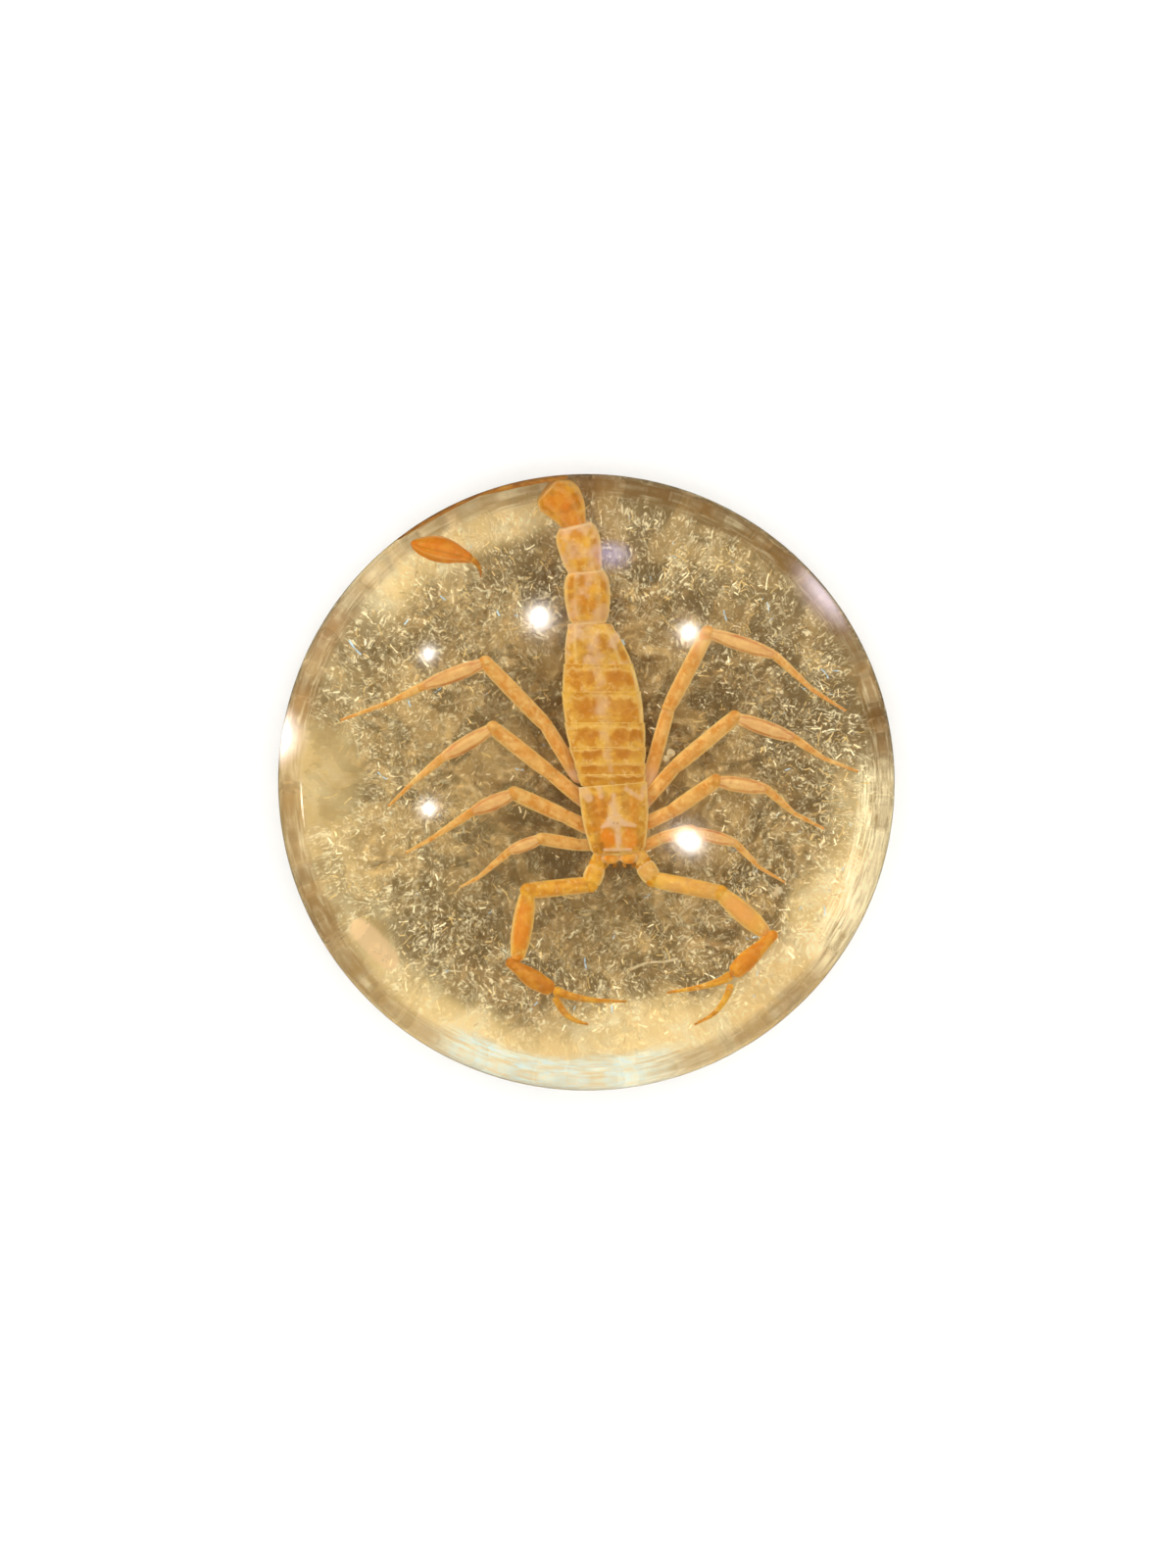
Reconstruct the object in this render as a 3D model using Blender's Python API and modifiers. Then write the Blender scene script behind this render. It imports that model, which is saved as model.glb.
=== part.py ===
"""Golden scorpion sealed in a clear domed puck that stands on a crinkled gold backing.

The puck is a turned shape: a straight wall under a half-ellipse dome. It is parted in two at the
scorpion's middle, and a pocket that follows the scorpion is cut out of both halves. Every piece of
the scorpion is a loft: rings set along a line, each as wide, as high and as deep as the body is there.

Millimetres in the constants, metres in the model. +Z is up, +Y is towards the tail, and the origin is
the centre of the underside.
"""
import math
from typing import NamedTuple

import bmesh
import bpy
from mathutils import Vector

MM = 0.001
OBJECT_NAME = "scorpion_in_resin"

# Puck
PUCK_RADIUS = 30.0
WALL_TOP = 9.0
DOME_RISE = 15.0
RIM_RADIUS = 0.6
BACKING_THICKNESS = 1.2
PIECE_GAP = 0.3
PARTING_HEIGHT = 9.0
PUCK_STEPS = 48
DOME_POINTS = 11

# Pocket round the scorpion
POCKET_CLEARANCE = 0.32
POCKET_SIDES = 6

# Scorpion: number of sides of the rings
LIMB_SIDES = 6
BODY_SIDES = 14
TAIL_SIDES = 10

# Carapace: the shield over the front of the body
CARAPACE_REAR = (2.35, -0.45)
CARAPACE_FRONT = (2.85, -6.45)
CARAPACE_HALF_WIDTHS = (2.85, 2.2)
BODY_AXIS_HEIGHT = 9.5
CARAPACE_RISE = 1.35
CARAPACE_SINK = 1.05

# Abdomen plates, front to rear: length, middle at the rear edge, half width at the rear edge
PLATES = (
    (0.95, 2.20, 3.00),
    (1.00, 2.05, 3.15),
    (1.45, 1.85, 3.35),
    (2.15, 1.60, 3.50),
    (2.75, 1.30, 3.45),
    (2.45, 1.05, 3.00),
    (3.50, 0.25, 1.85),
)
ABDOMEN_RISE = 1.55
ABDOMEN_SINK = 1.15
PLATE_STEP = 0.92

# Jaws between the claw arms
JAW_MIDDLES = (2.15, 3.75)
JAW_START = -6.75
JAW_END = -8.15
JAW_HALF_WIDTH = 0.80

# Tail: start and end of each segment, its half width and its half height
TAIL_SEGMENTS = (
    ((0.20, 14.40, 9.6), (0.00, 18.40, 9.6), 1.90, 1.55),
    ((-0.10, 18.75, 9.6), (-0.95, 22.55, 9.5), 1.80, 1.50),
    ((-1.10, 22.90, 9.5), (-2.00, 26.10, 9.3), 1.80, 1.45),
    ((-1.20, 27.85, 9.2), (-9.10, 26.35, 9.1), 1.15, 1.35),
    ((-9.50, 26.20, 9.1), (-16.90, 22.15, 9.0), 1.15, 1.30),
)

# Stinger: the bulb's line and widths, then the curved spine's
BULB_LINE = ((-15.10, 21.20, 8.9), (-13.50, 20.85, 8.9), (-11.90, 20.40, 8.9), (-10.40, 19.85, 8.8))
BULB_HALF_WIDTHS = (0.50, 1.20, 1.08, 0.50)
SPINE_LINE = ((-9.75, 19.50, 8.7), (-9.45, 18.90, 8.6), (-9.35, 18.05, 8.4))
SPINE_HALF_WIDTHS = (0.32, 0.22, 0.08)

# Claw arms: shoulder, elbow and wrist joints, then the half width of each stretch
CLAW_ARMS = {
    "left": ((0.90, -6.85, 8.3), (0.35, -9.00, 8.5), (-5.15, -9.60, 9.2), (-6.10, -15.65, 9.0)),
    "right": ((5.15, -6.85, 8.3), (5.90, -8.55, 8.5), (11.85, -9.80, 9.2), (15.95, -13.40, 9.2)),
}
ARM_HALF_WIDTHS = (0.70, 0.74, 0.94)

# Claws: the hand's line and half widths, then the fixed finger's, then the moving finger's
CLAW_HANDS = {
    "left": ((-6.00, -16.45, 8.9), (-4.70, -17.40, 8.9), (-2.90, -18.40, 8.8)),
    "right": ((15.70, -14.40, 9.1), (14.20, -15.80, 8.9), (12.90, -17.05, 8.8)),
}
HAND_HALF_WIDTHS = (0.60, 0.98, 0.72)
FIXED_FINGERS = {
    "left": ((-1.60, -18.85, 8.7), (0.60, -19.25, 8.5), (3.60, -19.33, 8.2)),
    "right": ((11.90, -17.55, 8.7), (10.00, -18.10, 8.5), (7.06, -18.55, 8.2)),
}
MOVING_FINGERS = {
    "left": ((-2.70, -19.45, 8.6), (-1.90, -20.40, 8.5), (-0.90, -21.05, 8.3), (0.20, -21.35, 8.1)),
    "right": ((12.75, -18.20, 8.6), (12.25, -19.25, 8.5), (11.20, -20.50, 8.3), (9.50, -21.40, 8.1)),
}
FINGER_HALF_WIDTHS = (0.34, 0.26, 0.10)
MOVING_FINGER_HALF_WIDTHS = (0.30, 0.28, 0.20, 0.09)

# Legs: hip, thigh, knee, shin, heel and toe joints, numbered from the front
LEG_JOINTS = {
    "leg_left_1": ((0.60, -5.50, 7.5), (-0.70, -5.50, 8.0), (-4.00, -5.00, 9.6),
                   (-6.75, -6.05, 9.2), (-9.50, -8.40, 8.3), (-11.05, -9.20, 7.5)),
    "leg_left_2": ((0.60, -4.20, 7.5), (-1.85, -3.00, 8.1), (-6.35, -1.00, 9.7),
                   (-10.05, -2.60, 9.3), (-13.65, -5.00, 8.3), (-15.75, -6.15, 7.5)),
    "leg_left_3": ((0.20, -2.00, 7.5), (-3.05, 0.70, 8.2), (-8.25, 4.80, 9.8),
                   (-12.65, 2.20, 9.3), (-15.40, -0.15, 8.3), (-17.30, -2.05, 7.5)),
    "leg_left_4": ((-0.60, 0.20, 7.3), (-3.55, 5.00, 8.3), (-8.95, 10.60, 9.9),
                   (-14.45, 8.50, 9.4), (-17.60, 6.95, 8.4), (-21.50, 5.45, 7.3)),
    "leg_right_1": ((4.40, -5.90, 7.5), (6.60, -4.90, 8.0), (9.25, -4.30, 9.6),
                    (13.15, -5.35, 9.2), (15.25, -7.50, 8.3), (17.35, -8.75, 7.5)),
    "leg_right_2": ((4.40, -4.00, 7.5), (7.50, -2.55, 8.1), (11.45, 0.10, 9.7),
                    (15.95, -0.60, 9.3), (18.30, -2.75, 8.3), (20.80, -4.05, 7.5)),
    "leg_right_3": ((4.70, -2.20, 7.5), (7.75, 1.30, 8.2), (13.15, 5.75, 9.8),
                    (18.40, 3.90, 9.3), (20.95, 2.10, 8.3), (23.80, 0.95, 7.5)),
    "leg_right_4": ((5.30, -0.40, 7.3), (7.25, 6.55, 8.3), (10.75, 13.30, 9.9),
                    (16.70, 11.30, 9.4), (20.05, 8.10, 8.4), (22.70, 6.30, 7.3)),
}
LEG_HALF_WIDTHS = (0.50, 0.66, 0.64, 0.42, 0.24)
LEG_FRONT_PAIR_SCALE = 0.82

# Where the rings of one stretch of a limb stand, and how full it is there and at the limb's ends
STRETCH_SHAPE = ((0.10, 0.78), (0.45, 1.0), (0.88, 0.80))
LIMB_END_FULLNESS = 0.6

# Colours (linear) and finishes
RESIN_COLOUR = (0.90, 0.80, 0.58)
GOLD_COLOUR = (0.55, 0.40, 0.20)
AMBER_COLOUR = (0.75, 0.32, 0.06)
ORANGE_COLOUR = (0.62, 0.19, 0.02)
LEG_COLOUR = (0.80, 0.42, 0.11)


class Ring(NamedTuple):
    """One ring of a loft: its middle, half width, height above the middle and depth below it."""

    middle: tuple
    half_width: float
    rise: float
    sink: float


class Piece(NamedTuple):
    """One piece of the scorpion: its rings and their sides, its finish, and the rings of its pocket."""

    name: str
    rings: list
    sides: int
    finish: str
    pocket_rings: list


def material(name, colour, roughness, metallic=0.0, transmission=0.0):
    """A plain Principled material."""
    made = bpy.data.materials.new(name)
    made.use_nodes = True
    shader = made.node_tree.nodes["Principled BSDF"]
    shader.inputs["Base Color"].default_value = (*colour, 1.0)
    shader.inputs["Roughness"].default_value = roughness
    shader.inputs["Metallic"].default_value = metallic
    shader.inputs["Transmission Weight"].default_value = transmission
    made.diffuse_color = (*colour, 1.0)
    return made


def ring_directions(rings):
    """The direction of travel at each ring, from the ring before it to the one after."""
    middles = [Vector(ring.middle) for ring in rings]
    last = len(middles) - 1
    return [(middles[min(i + 1, last)] - middles[max(i - 1, 0)]).normalized() for i in range(last + 1)]


def ring_points(ring, direction, sides):
    """The corners of one ring, square to its direction, in metres."""
    across = direction.cross(Vector((0, 0, 1))).normalized()
    upward = across.cross(direction)
    points = []
    for side in range(sides):
        angle = 2 * math.pi * (side + 0.5) / sides
        height = ring.rise if math.sin(angle) > 0 else ring.sink
        offset = across * (ring.half_width * math.cos(angle)) + upward * (height * math.sin(angle))
        points.append((Vector(ring.middle) + offset) * MM)
    return points


def loft_mesh(name, rings, sides):
    """A closed mesh through the rings, with a flat face at each end."""
    shape = bmesh.new()
    loops = []
    for ring, direction in zip(rings, ring_directions(rings)):
        loops.append([shape.verts.new(point) for point in ring_points(ring, direction, sides)])
    for near, far in zip(loops, loops[1:]):
        for side in range(sides):
            beside = (side + 1) % sides
            shape.faces.new((near[side], near[beside], far[beside], far[side]))
    shape.faces.new(loops[0])
    shape.faces.new(loops[-1])
    bmesh.ops.recalc_face_normals(shape, faces=shape.faces)
    mesh = bpy.data.meshes.new(name)
    shape.to_mesh(mesh)
    shape.free()
    mesh.shade_smooth()
    mesh.set_sharp_from_angle(angle=math.radians(50))
    return mesh


def add_object(name, mesh, finish, collection):
    """An object for the mesh, with its material, in the collection."""
    made = bpy.data.objects.new(name, mesh)
    if finish is not None:
        mesh.materials.append(finish)
    collection.objects.link(made)
    return made


def add_cutter(name, rings, collection):
    """The pocket round one piece: the same loft, swollen, with few sides."""
    swell = 1 / math.cos(math.pi / POCKET_SIDES)

    def swollen(size):
        return (size + POCKET_CLEARANCE) * swell

    grown = [Ring(r.middle, swollen(r.half_width), swollen(r.rise), swollen(r.sink)) for r in rings]
    for end, beside in ((0, 1), (-1, -2)):
        outward = (Vector(rings[end].middle) - Vector(rings[beside].middle)).normalized()
        lengthened = Vector(rings[end].middle) + outward * POCKET_CLEARANCE
        grown[end] = grown[end]._replace(middle=tuple(lengthened))
    cutter = add_object(name, loft_mesh(name, grown, POCKET_SIDES), None, collection)
    cutter.hide_render = True
    cutter.display_type = "WIRE"
    return cutter


def round_ring(middle, half_width):
    """A ring as high and as deep as it is wide."""
    return Ring(middle, half_width, half_width, half_width)


def stretch_rings(joints, half_widths):
    """Rings along a limb: each stretch between two joints swells in the middle and narrows at both."""
    rings = [round_ring(joints[0], half_widths[0] * LIMB_END_FULLNESS)]
    for start, end, half_width in zip(joints, joints[1:], half_widths):
        for part, fullness in STRETCH_SHAPE:
            middle = Vector(start).lerp(Vector(end), part)
            rings.append(round_ring(tuple(middle), half_width * fullness))
    rings.append(round_ring(joints[-1], half_widths[-1] * LIMB_END_FULLNESS))
    return rings


def joint_rings(joints, half_widths):
    """Rings only at a limb's joints, each as wide as the wider of the two stretches that meet there."""
    before = (half_widths[0], *half_widths)
    after = (*half_widths, half_widths[-1])
    return [round_ring(joint, max(pair)) for joint, pair in zip(joints, zip(before, after))]


def line_rings(line, half_widths):
    """Round rings at the points of a line."""
    return [round_ring(point, half_width) for point, half_width in zip(line, half_widths)]


def carapace_rings():
    """The front shield: narrower towards the jaws, with a rounded front and rear edge."""
    shape = ((0.0, 0.86), (0.05, 1.0), (0.35, 1.04), (0.75, 1.0), (0.96, 0.94), (1.0, 0.80))
    rings = []
    for part, fullness in shape:
        middle = Vector(CARAPACE_REAR).lerp(Vector(CARAPACE_FRONT), part)
        half_width = CARAPACE_HALF_WIDTHS[0] * (1 - part) + CARAPACE_HALF_WIDTHS[1] * part
        rings.append(Ring((middle.x, middle.y, BODY_AXIS_HEIGHT), half_width * fullness,
                          CARAPACE_RISE * fullness, CARAPACE_SINK * fullness))
    return rings


def abdomen_rings():
    """Seven overlapping plates: each starts a little smaller than the plate before it ends."""
    y = CARAPACE_REAR[1] + PIECE_GAP
    middle_x, half_width = CARAPACE_REAR[0], CARAPACE_HALF_WIDTHS[0]
    rings = []
    for length, rear_x, rear_half_width in PLATES:
        fullness = min(1.0, rear_half_width / PLATES[3][2] + 0.12)
        for part, step in ((0.04, PLATE_STEP), (0.94, 1.0)):
            x = middle_x + (rear_x - middle_x) * part
            width = half_width + (rear_half_width - half_width) * part
            middle = (x, y + length * part, BODY_AXIS_HEIGHT)
            rings.append(Ring(middle, width * step, ABDOMEN_RISE * fullness * step, ABDOMEN_SINK * fullness))
        y += length
        middle_x, half_width = rear_x, rear_half_width
    return rings


def tail_rings(start, end, half_width, half_height):
    """One tail segment: narrow at the joints and broadest before its rear end."""
    shape = ((0.0, 0.70), (0.10, 0.92), (0.45, 0.97), (0.85, 1.0), (1.0, 0.80))
    rings = []
    for part, fullness in shape:
        middle = tuple(Vector(start).lerp(Vector(end), part))
        rings.append(Ring(middle, half_width * fullness, half_height * fullness, half_height * fullness))
    return rings


def jaw_rings(middle_x):
    """One jaw: a short stout finger that points forward."""
    length = JAW_END - JAW_START
    shape = ((0.0, 0.75), (0.3, 1.0), (0.75, 0.85), (1.0, 0.35))
    return [round_ring((middle_x, JAW_START + length * part, BODY_AXIS_HEIGHT - 0.3),
                       JAW_HALF_WIDTH * fullness) for part, fullness in shape]


def body_pieces():
    """The shield, the plates, the jaws, the tail and the stinger."""
    carapace = carapace_rings()
    abdomen = abdomen_rings()
    pieces = [
        Piece("carapace", carapace, BODY_SIDES, "amber", carapace),
        Piece("abdomen", abdomen, BODY_SIDES, "amber", abdomen[:1] + abdomen[1::2]),
    ]
    for side, middle_x in zip(("left", "right"), JAW_MIDDLES):
        jaw = jaw_rings(middle_x)
        pieces.append(Piece(f"jaw_{side}", jaw, LIMB_SIDES, "amber", jaw))
    for number, segment in enumerate(TAIL_SEGMENTS, start=1):
        tail = tail_rings(*segment)
        pieces.append(Piece(f"tail_segment_{number}", tail, TAIL_SIDES, "orange", tail))
    stinger = line_rings(BULB_LINE + SPINE_LINE, BULB_HALF_WIDTHS + SPINE_HALF_WIDTHS)
    pieces.append(Piece("stinger", stinger, TAIL_SIDES, "orange", stinger))
    return pieces


def limb_pieces():
    """The claw arms, the claws with their moving fingers, and the eight legs."""
    pieces = []
    for side in ("left", "right"):
        joints = CLAW_ARMS[side]
        hand = line_rings(CLAW_HANDS[side] + FIXED_FINGERS[side], HAND_HALF_WIDTHS + FINGER_HALF_WIDTHS)
        finger = line_rings(MOVING_FINGERS[side], MOVING_FINGER_HALF_WIDTHS)
        pieces.append(Piece(f"claw_arm_{side}", stretch_rings(joints, ARM_HALF_WIDTHS), LIMB_SIDES,
                            "orange", joint_rings(joints, ARM_HALF_WIDTHS)))
        pieces.append(Piece(f"claw_{side}", hand, LIMB_SIDES, "orange", hand))
        pieces.append(Piece(f"claw_finger_{side}", finger, LIMB_SIDES, "orange", finger))
    for name, joints in LEG_JOINTS.items():
        scale = LEG_FRONT_PAIR_SCALE if name.endswith("_1") else 1.0
        half_widths = [half_width * scale for half_width in LEG_HALF_WIDTHS]
        pieces.append(Piece(name, stretch_rings(joints, half_widths), LIMB_SIDES, "leg",
                            joint_rings(joints, half_widths)))
    return pieces


def turned(name, profile, finish, collection):
    """A solid turned from a profile at +X that runs from top to bottom on its outer side."""
    shape = bmesh.new()
    corners = [shape.verts.new((radius * MM, 0, height * MM)) for radius, height in profile]
    for upper, lower in zip(corners, corners[1:]):
        shape.edges.new((upper, lower))
    mesh = bpy.data.meshes.new(name)
    shape.to_mesh(mesh)
    shape.free()
    made = add_object(name, mesh, finish, collection)
    screw = made.modifiers.new("turn", "SCREW")
    screw.steps = PUCK_STEPS
    screw.render_steps = PUCK_STEPS
    screw.use_merge_vertices = True
    screw.merge_threshold = 0.00001
    screw.use_smooth_shade = True
    return made


def dome_profile():
    """The dome over the parting plane, from its top down to the plane and back to the axis."""
    profile = []
    for step in range(DOME_POINTS):
        angle = math.pi / 2 * (1 - step / (DOME_POINTS - 1))
        profile.append((PUCK_RADIUS * math.cos(angle), WALL_TOP + DOME_RISE * math.sin(angle)))
    floor = PARTING_HEIGHT + PIECE_GAP / 2
    profile = [(radius, height) for radius, height in profile if height > floor]
    edge_radius = PUCK_RADIUS * math.sqrt(1 - ((floor - WALL_TOP) / DOME_RISE) ** 2)
    return [(0, profile[0][1])] + profile[1:] + [(edge_radius, floor), (0, floor)]


def cylinder_profile(floor, ceiling, lower_round):
    """A straight-walled disc, with the lower edge rounded if asked."""
    profile = [(0, ceiling), (PUCK_RADIUS, ceiling)]
    if lower_round > 0:
        for step in range(4):
            angle = math.pi / 2 * step / 3
            radius = PUCK_RADIUS - lower_round * (1 - math.cos(angle))
            profile.append((radius, floor + lower_round * (1 - math.sin(angle))))
    else:
        profile.append((PUCK_RADIUS, floor))
    return profile + [(0, floor)]


def cut_pocket(half, cutters):
    """Take every swollen loft out of one half of the resin."""
    pocket = half.modifiers.new("pocket", "BOOLEAN")
    pocket.operation = "DIFFERENCE"
    pocket.operand_type = "COLLECTION"
    pocket.collection = cutters
    pocket.solver = "EXACT"


def new_collection(name):
    """A collection in the scene."""
    made = bpy.data.collections.new(name)
    bpy.context.scene.collection.children.link(made)
    return made


def build():
    """Model the whole object."""
    for old in list(bpy.data.objects):
        bpy.data.objects.remove(old, do_unlink=True)
    pieces = new_collection(OBJECT_NAME)
    cutters = new_collection("pocket_cutters")
    resin = material("clear_resin", RESIN_COLOUR, 0.05, transmission=1.0)
    gold = material("gold_backing", GOLD_COLOUR, 0.35, metallic=0.8)
    finishes = {
        "amber": material("amber_shell", AMBER_COLOUR, 0.4),
        "orange": material("orange_shell", ORANGE_COLOUR, 0.4),
        "leg": material("leg_shell", LEG_COLOUR, 0.4),
    }
    for piece in body_pieces() + limb_pieces():
        mesh = loft_mesh(piece.name, piece.rings, piece.sides)
        add_object(piece.name, mesh, finishes[piece.finish], pieces)
        add_cutter(f"pocket_{piece.name}", piece.pocket_rings, cutters)
    base_floor = BACKING_THICKNESS + PIECE_GAP
    base_ceiling = PARTING_HEIGHT - PIECE_GAP / 2
    backing_profile = cylinder_profile(0, BACKING_THICKNESS, RIM_RADIUS)
    turned("gold_backing", backing_profile, gold, pieces)
    base = turned("resin_base", cylinder_profile(base_floor, base_ceiling, 0), resin, pieces)
    top = turned("resin_top", dome_profile(), resin, pieces)
    cut_pocket(base, cutters)
    cut_pocket(top, cutters)


build()
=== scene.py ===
"""Looks of the scorpion cast in a domed resin puck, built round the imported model.

Lengths are in millimetres while a form is worked out, and become metres when its mesh is made.
X runs to the right and Y towards the tail in the photograph's view, and Z runs up through the dome.
"""

from __future__ import annotations

import logging
import math
from collections.abc import Callable, Mapping, Sequence
from dataclasses import dataclass, field
from enum import Enum
from typing import Any

import bpy
import numpy as np
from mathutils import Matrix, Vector

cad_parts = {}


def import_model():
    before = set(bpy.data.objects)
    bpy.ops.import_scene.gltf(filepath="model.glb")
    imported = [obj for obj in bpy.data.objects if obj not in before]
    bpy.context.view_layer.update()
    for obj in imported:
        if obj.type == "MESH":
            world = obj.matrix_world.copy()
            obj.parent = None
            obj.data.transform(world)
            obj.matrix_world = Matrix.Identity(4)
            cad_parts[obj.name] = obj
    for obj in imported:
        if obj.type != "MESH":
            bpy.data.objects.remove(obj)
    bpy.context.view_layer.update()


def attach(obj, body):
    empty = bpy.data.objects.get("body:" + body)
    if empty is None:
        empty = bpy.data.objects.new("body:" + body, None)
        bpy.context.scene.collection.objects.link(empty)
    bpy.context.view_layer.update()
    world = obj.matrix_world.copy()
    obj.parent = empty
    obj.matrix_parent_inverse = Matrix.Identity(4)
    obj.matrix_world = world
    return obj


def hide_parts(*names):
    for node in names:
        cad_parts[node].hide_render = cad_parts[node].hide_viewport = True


log = logging.getLogger("scorpion_puck")

Point = tuple[float, float, float]
Plan = tuple[float, float]
Colour = tuple[float, float, float, float]
Array = np.ndarray

MM = 0.001
BODY = "root"

PUCK_RADIUS = 30.0
WALL_TOP = 9.0
DOME_RISE = 15.0
SEEN_REACH = 23.92


def paint_colour(red: int, green: int, blue: int) -> Colour:
    """Turns a colour as seen on screen into the linear values that shaders use.

    Args:
        red: Red from 0 to 255.
        green: Green from 0 to 255.
        blue: Blue from 0 to 255.

    Returns:
        Linear red, green and blue, with full alpha.
    """

    def linear(value: int) -> float:
        share = value / 255.0
        return share / 12.92 if share <= 0.04045 else ((share + 0.055) / 1.055) ** 2.4

    return (linear(red), linear(green), linear(blue), 1.0)


def soft_step(values: Array, low: float, high: float) -> Array:
    """Rises smoothly from 0 at low to 1 at high, or falls where low is the larger.

    Args:
        values: Values to judge.
        low: Value at which the result is 0.
        high: Value at which the result is 1.

    Returns:
        Numbers from 0 to 1.
    """
    share = np.clip((values - low) / (high - low), 0.0, 1.0)
    return share * share * (3.0 - 2.0 * share)


class Mark(Enum):
    """What a value painted on the scorpion's surface stands for."""

    PALE = "pale"
    MILKY = "milky"
    DARK = "dark"
    WARM = "warm"
    RUST = "rust"
    STREAK = "streak"
    HAIR = "hair"


class Side(Enum):
    """The two sides of the animal as the photograph shows them."""

    LEFT = "left"
    RIGHT = "right"


class Slot(Enum):
    """Material slots."""

    RESIN = "clear_resin"
    FILM = "gold_backing"
    AMBER = "amber_shell"
    ORANGE = "orange_shell"
    LEG = "leg_shell"


class Graph:
    """Short calls for adding and linking nodes in one tree."""

    def __init__(self, tree: bpy.types.NodeTree) -> None:
        """Keeps the tree that the calls work on."""
        self.tree = tree

    def feed(self, node: bpy.types.Node, key: str | int, value: Any) -> None:
        """Links a socket to a node's input, or sets the input's own value.

        Args:
            node: Node that takes the value.
            key: Name or number of the input.
            value: Output socket, or a plain value.
        """
        if isinstance(value, bpy.types.NodeSocket):
            self.tree.links.new(value, node.inputs[key])
        else:
            node.inputs[key].default_value = value

    def add(
        self, kind: str, inputs: Mapping[str | int, Any] | None = None, **settings: Any
    ) -> bpy.types.Node:
        """Adds a node.

        Args:
            kind: Blender's name for the node type.
            inputs: Values or sockets by input name or number.
            **settings: Properties of the node, set before its inputs.

        Returns:
            The new node.
        """
        node = self.tree.nodes.new(kind)
        for name, value in settings.items():
            setattr(node, name, value)
        for key, value in (inputs or {}).items():
            self.feed(node, key, value)
        return node

    def math(self, operation: str, *values: Any, clamp: bool = False) -> bpy.types.NodeSocket:
        """Adds a Math node.

        Args:
            operation: Blender's name for the operation.
            *values: One to three numbers or sockets.
            clamp: Whether the result is kept between 0 and 1.

        Returns:
            The node's result.
        """
        inputs = dict(enumerate(values))
        return self.add("ShaderNodeMath", inputs, operation=operation, use_clamp=clamp).outputs[0]

    def span(self, value: Any, low: float, high: float, to_low: Any = 0.0, to_high: Any = 1.0) -> Any:
        """Maps a value smoothly from one span to another.

        Args:
            value: Socket to map.
            low: Value that gives to_low.
            high: Value that gives to_high.
            to_low: Result at low.
            to_high: Result at high.

        Returns:
            The mapped value's socket.
        """
        inputs = {"Value": value, 1: low, 2: high, 3: to_low, 4: to_high}
        return self.add("ShaderNodeMapRange", inputs, interpolation_type="SMOOTHSTEP").outputs[0]

    def blend(self, share: Any, first: Any, second: Any, mode: str = "MIX") -> Any:
        """Mixes two colours.

        Args:
            share: How much of the second colour shows.
            first: First colour or socket.
            second: Second colour or socket.
            mode: Blender's name for the way they mix.

        Returns:
            The mixed colour's socket.
        """
        inputs = {0: share, 6: first, 7: second}
        return self.add("ShaderNodeMix", inputs, data_type="RGBA", blend_type=mode).outputs[2]

    def noise(self, place: Any, scale: Any, detail: float = 2.0, bend: float = 0.0) -> Any:
        """Adds a Noise Texture.

        Args:
            place: Vector that it is read at.
            scale: Features per metre.
            detail: Number of finer layers.
            bend: How much it is distorted.

        Returns:
            The texture's value socket.
        """
        inputs = {"Vector": place, "Scale": scale, "Detail": detail, "Distortion": bend}
        return self.add("ShaderNodeTexNoise", inputs).outputs[0]

    def painted(self, name: str) -> bpy.types.NodeSocket:
        """Reads a value that was painted on the mesh."""
        return self.add("ShaderNodeAttribute", attribute_name=name).outputs["Fac"]

    def object_place(self) -> bpy.types.NodeSocket:
        """Gives the place in the object's own coordinates."""
        return self.add("ShaderNodeTexCoord").outputs["Object"]


def new_group(
    name: str, inputs: Mapping[str, tuple[str, float]], outputs: Mapping[str, str]
) -> tuple[Graph, bpy.types.Node, bpy.types.Node]:
    """Starts a shader node group.

    Args:
        name: Name of the group.
        inputs: Kind and starting value of each input.
        outputs: Kind of each output.

    Returns:
        The group's graph, its input node and its output node.
    """
    tree = bpy.data.node_groups.new(name, "ShaderNodeTree")
    for label, (kind, start) in inputs.items():
        socket = tree.interface.new_socket(name=label, in_out="INPUT", socket_type=kind)
        if kind == "NodeSocketFloat":
            socket.default_value = start
    for label, kind in outputs.items():
        tree.interface.new_socket(name=label, in_out="OUTPUT", socket_type=kind)
    graph = Graph(tree)
    return graph, graph.add("NodeGroupInput"), graph.add("NodeGroupOutput")


def shell_grain_group() -> bpy.types.NodeTree:
    """Builds the fine grain and cloudy mottling that all of the scorpion's shell shares.

    Returns:
        A group that puts out a mottling mask, a mask of fine flecks and a relief height.
    """
    graph, start, end = new_group(
        "shell_grain",
        {"Cloud Scale": ("NodeSocketFloat", 900.0), "Grain Scale": ("NodeSocketFloat", 6000.0)},
        {"Mottle": "NodeSocketFloat", "Fleck": "NodeSocketFloat", "Height": "NodeSocketFloat"},
    )
    place = graph.object_place()
    clouds = graph.noise(place, start.outputs["Cloud Scale"], 4.0, 0.6)
    grain = graph.noise(place, start.outputs["Grain Scale"], 3.0)
    pits = graph.add(
        "ShaderNodeTexVoronoi", {"Vector": place, "Scale": start.outputs["Grain Scale"]}
    ).outputs["Distance"]
    graph.feed(end, "Mottle", graph.span(clouds, 0.36, 0.64))
    flecks = graph.noise(place, graph.math("MULTIPLY", start.outputs["Cloud Scale"], 3.4), 3.0, 0.5)
    graph.feed(end, "Fleck", graph.span(flecks, 0.52, 0.70))
    graph.feed(end, "Height", graph.math("MULTIPLY_ADD", pits, 0.5, grain))
    return graph.tree


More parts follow.
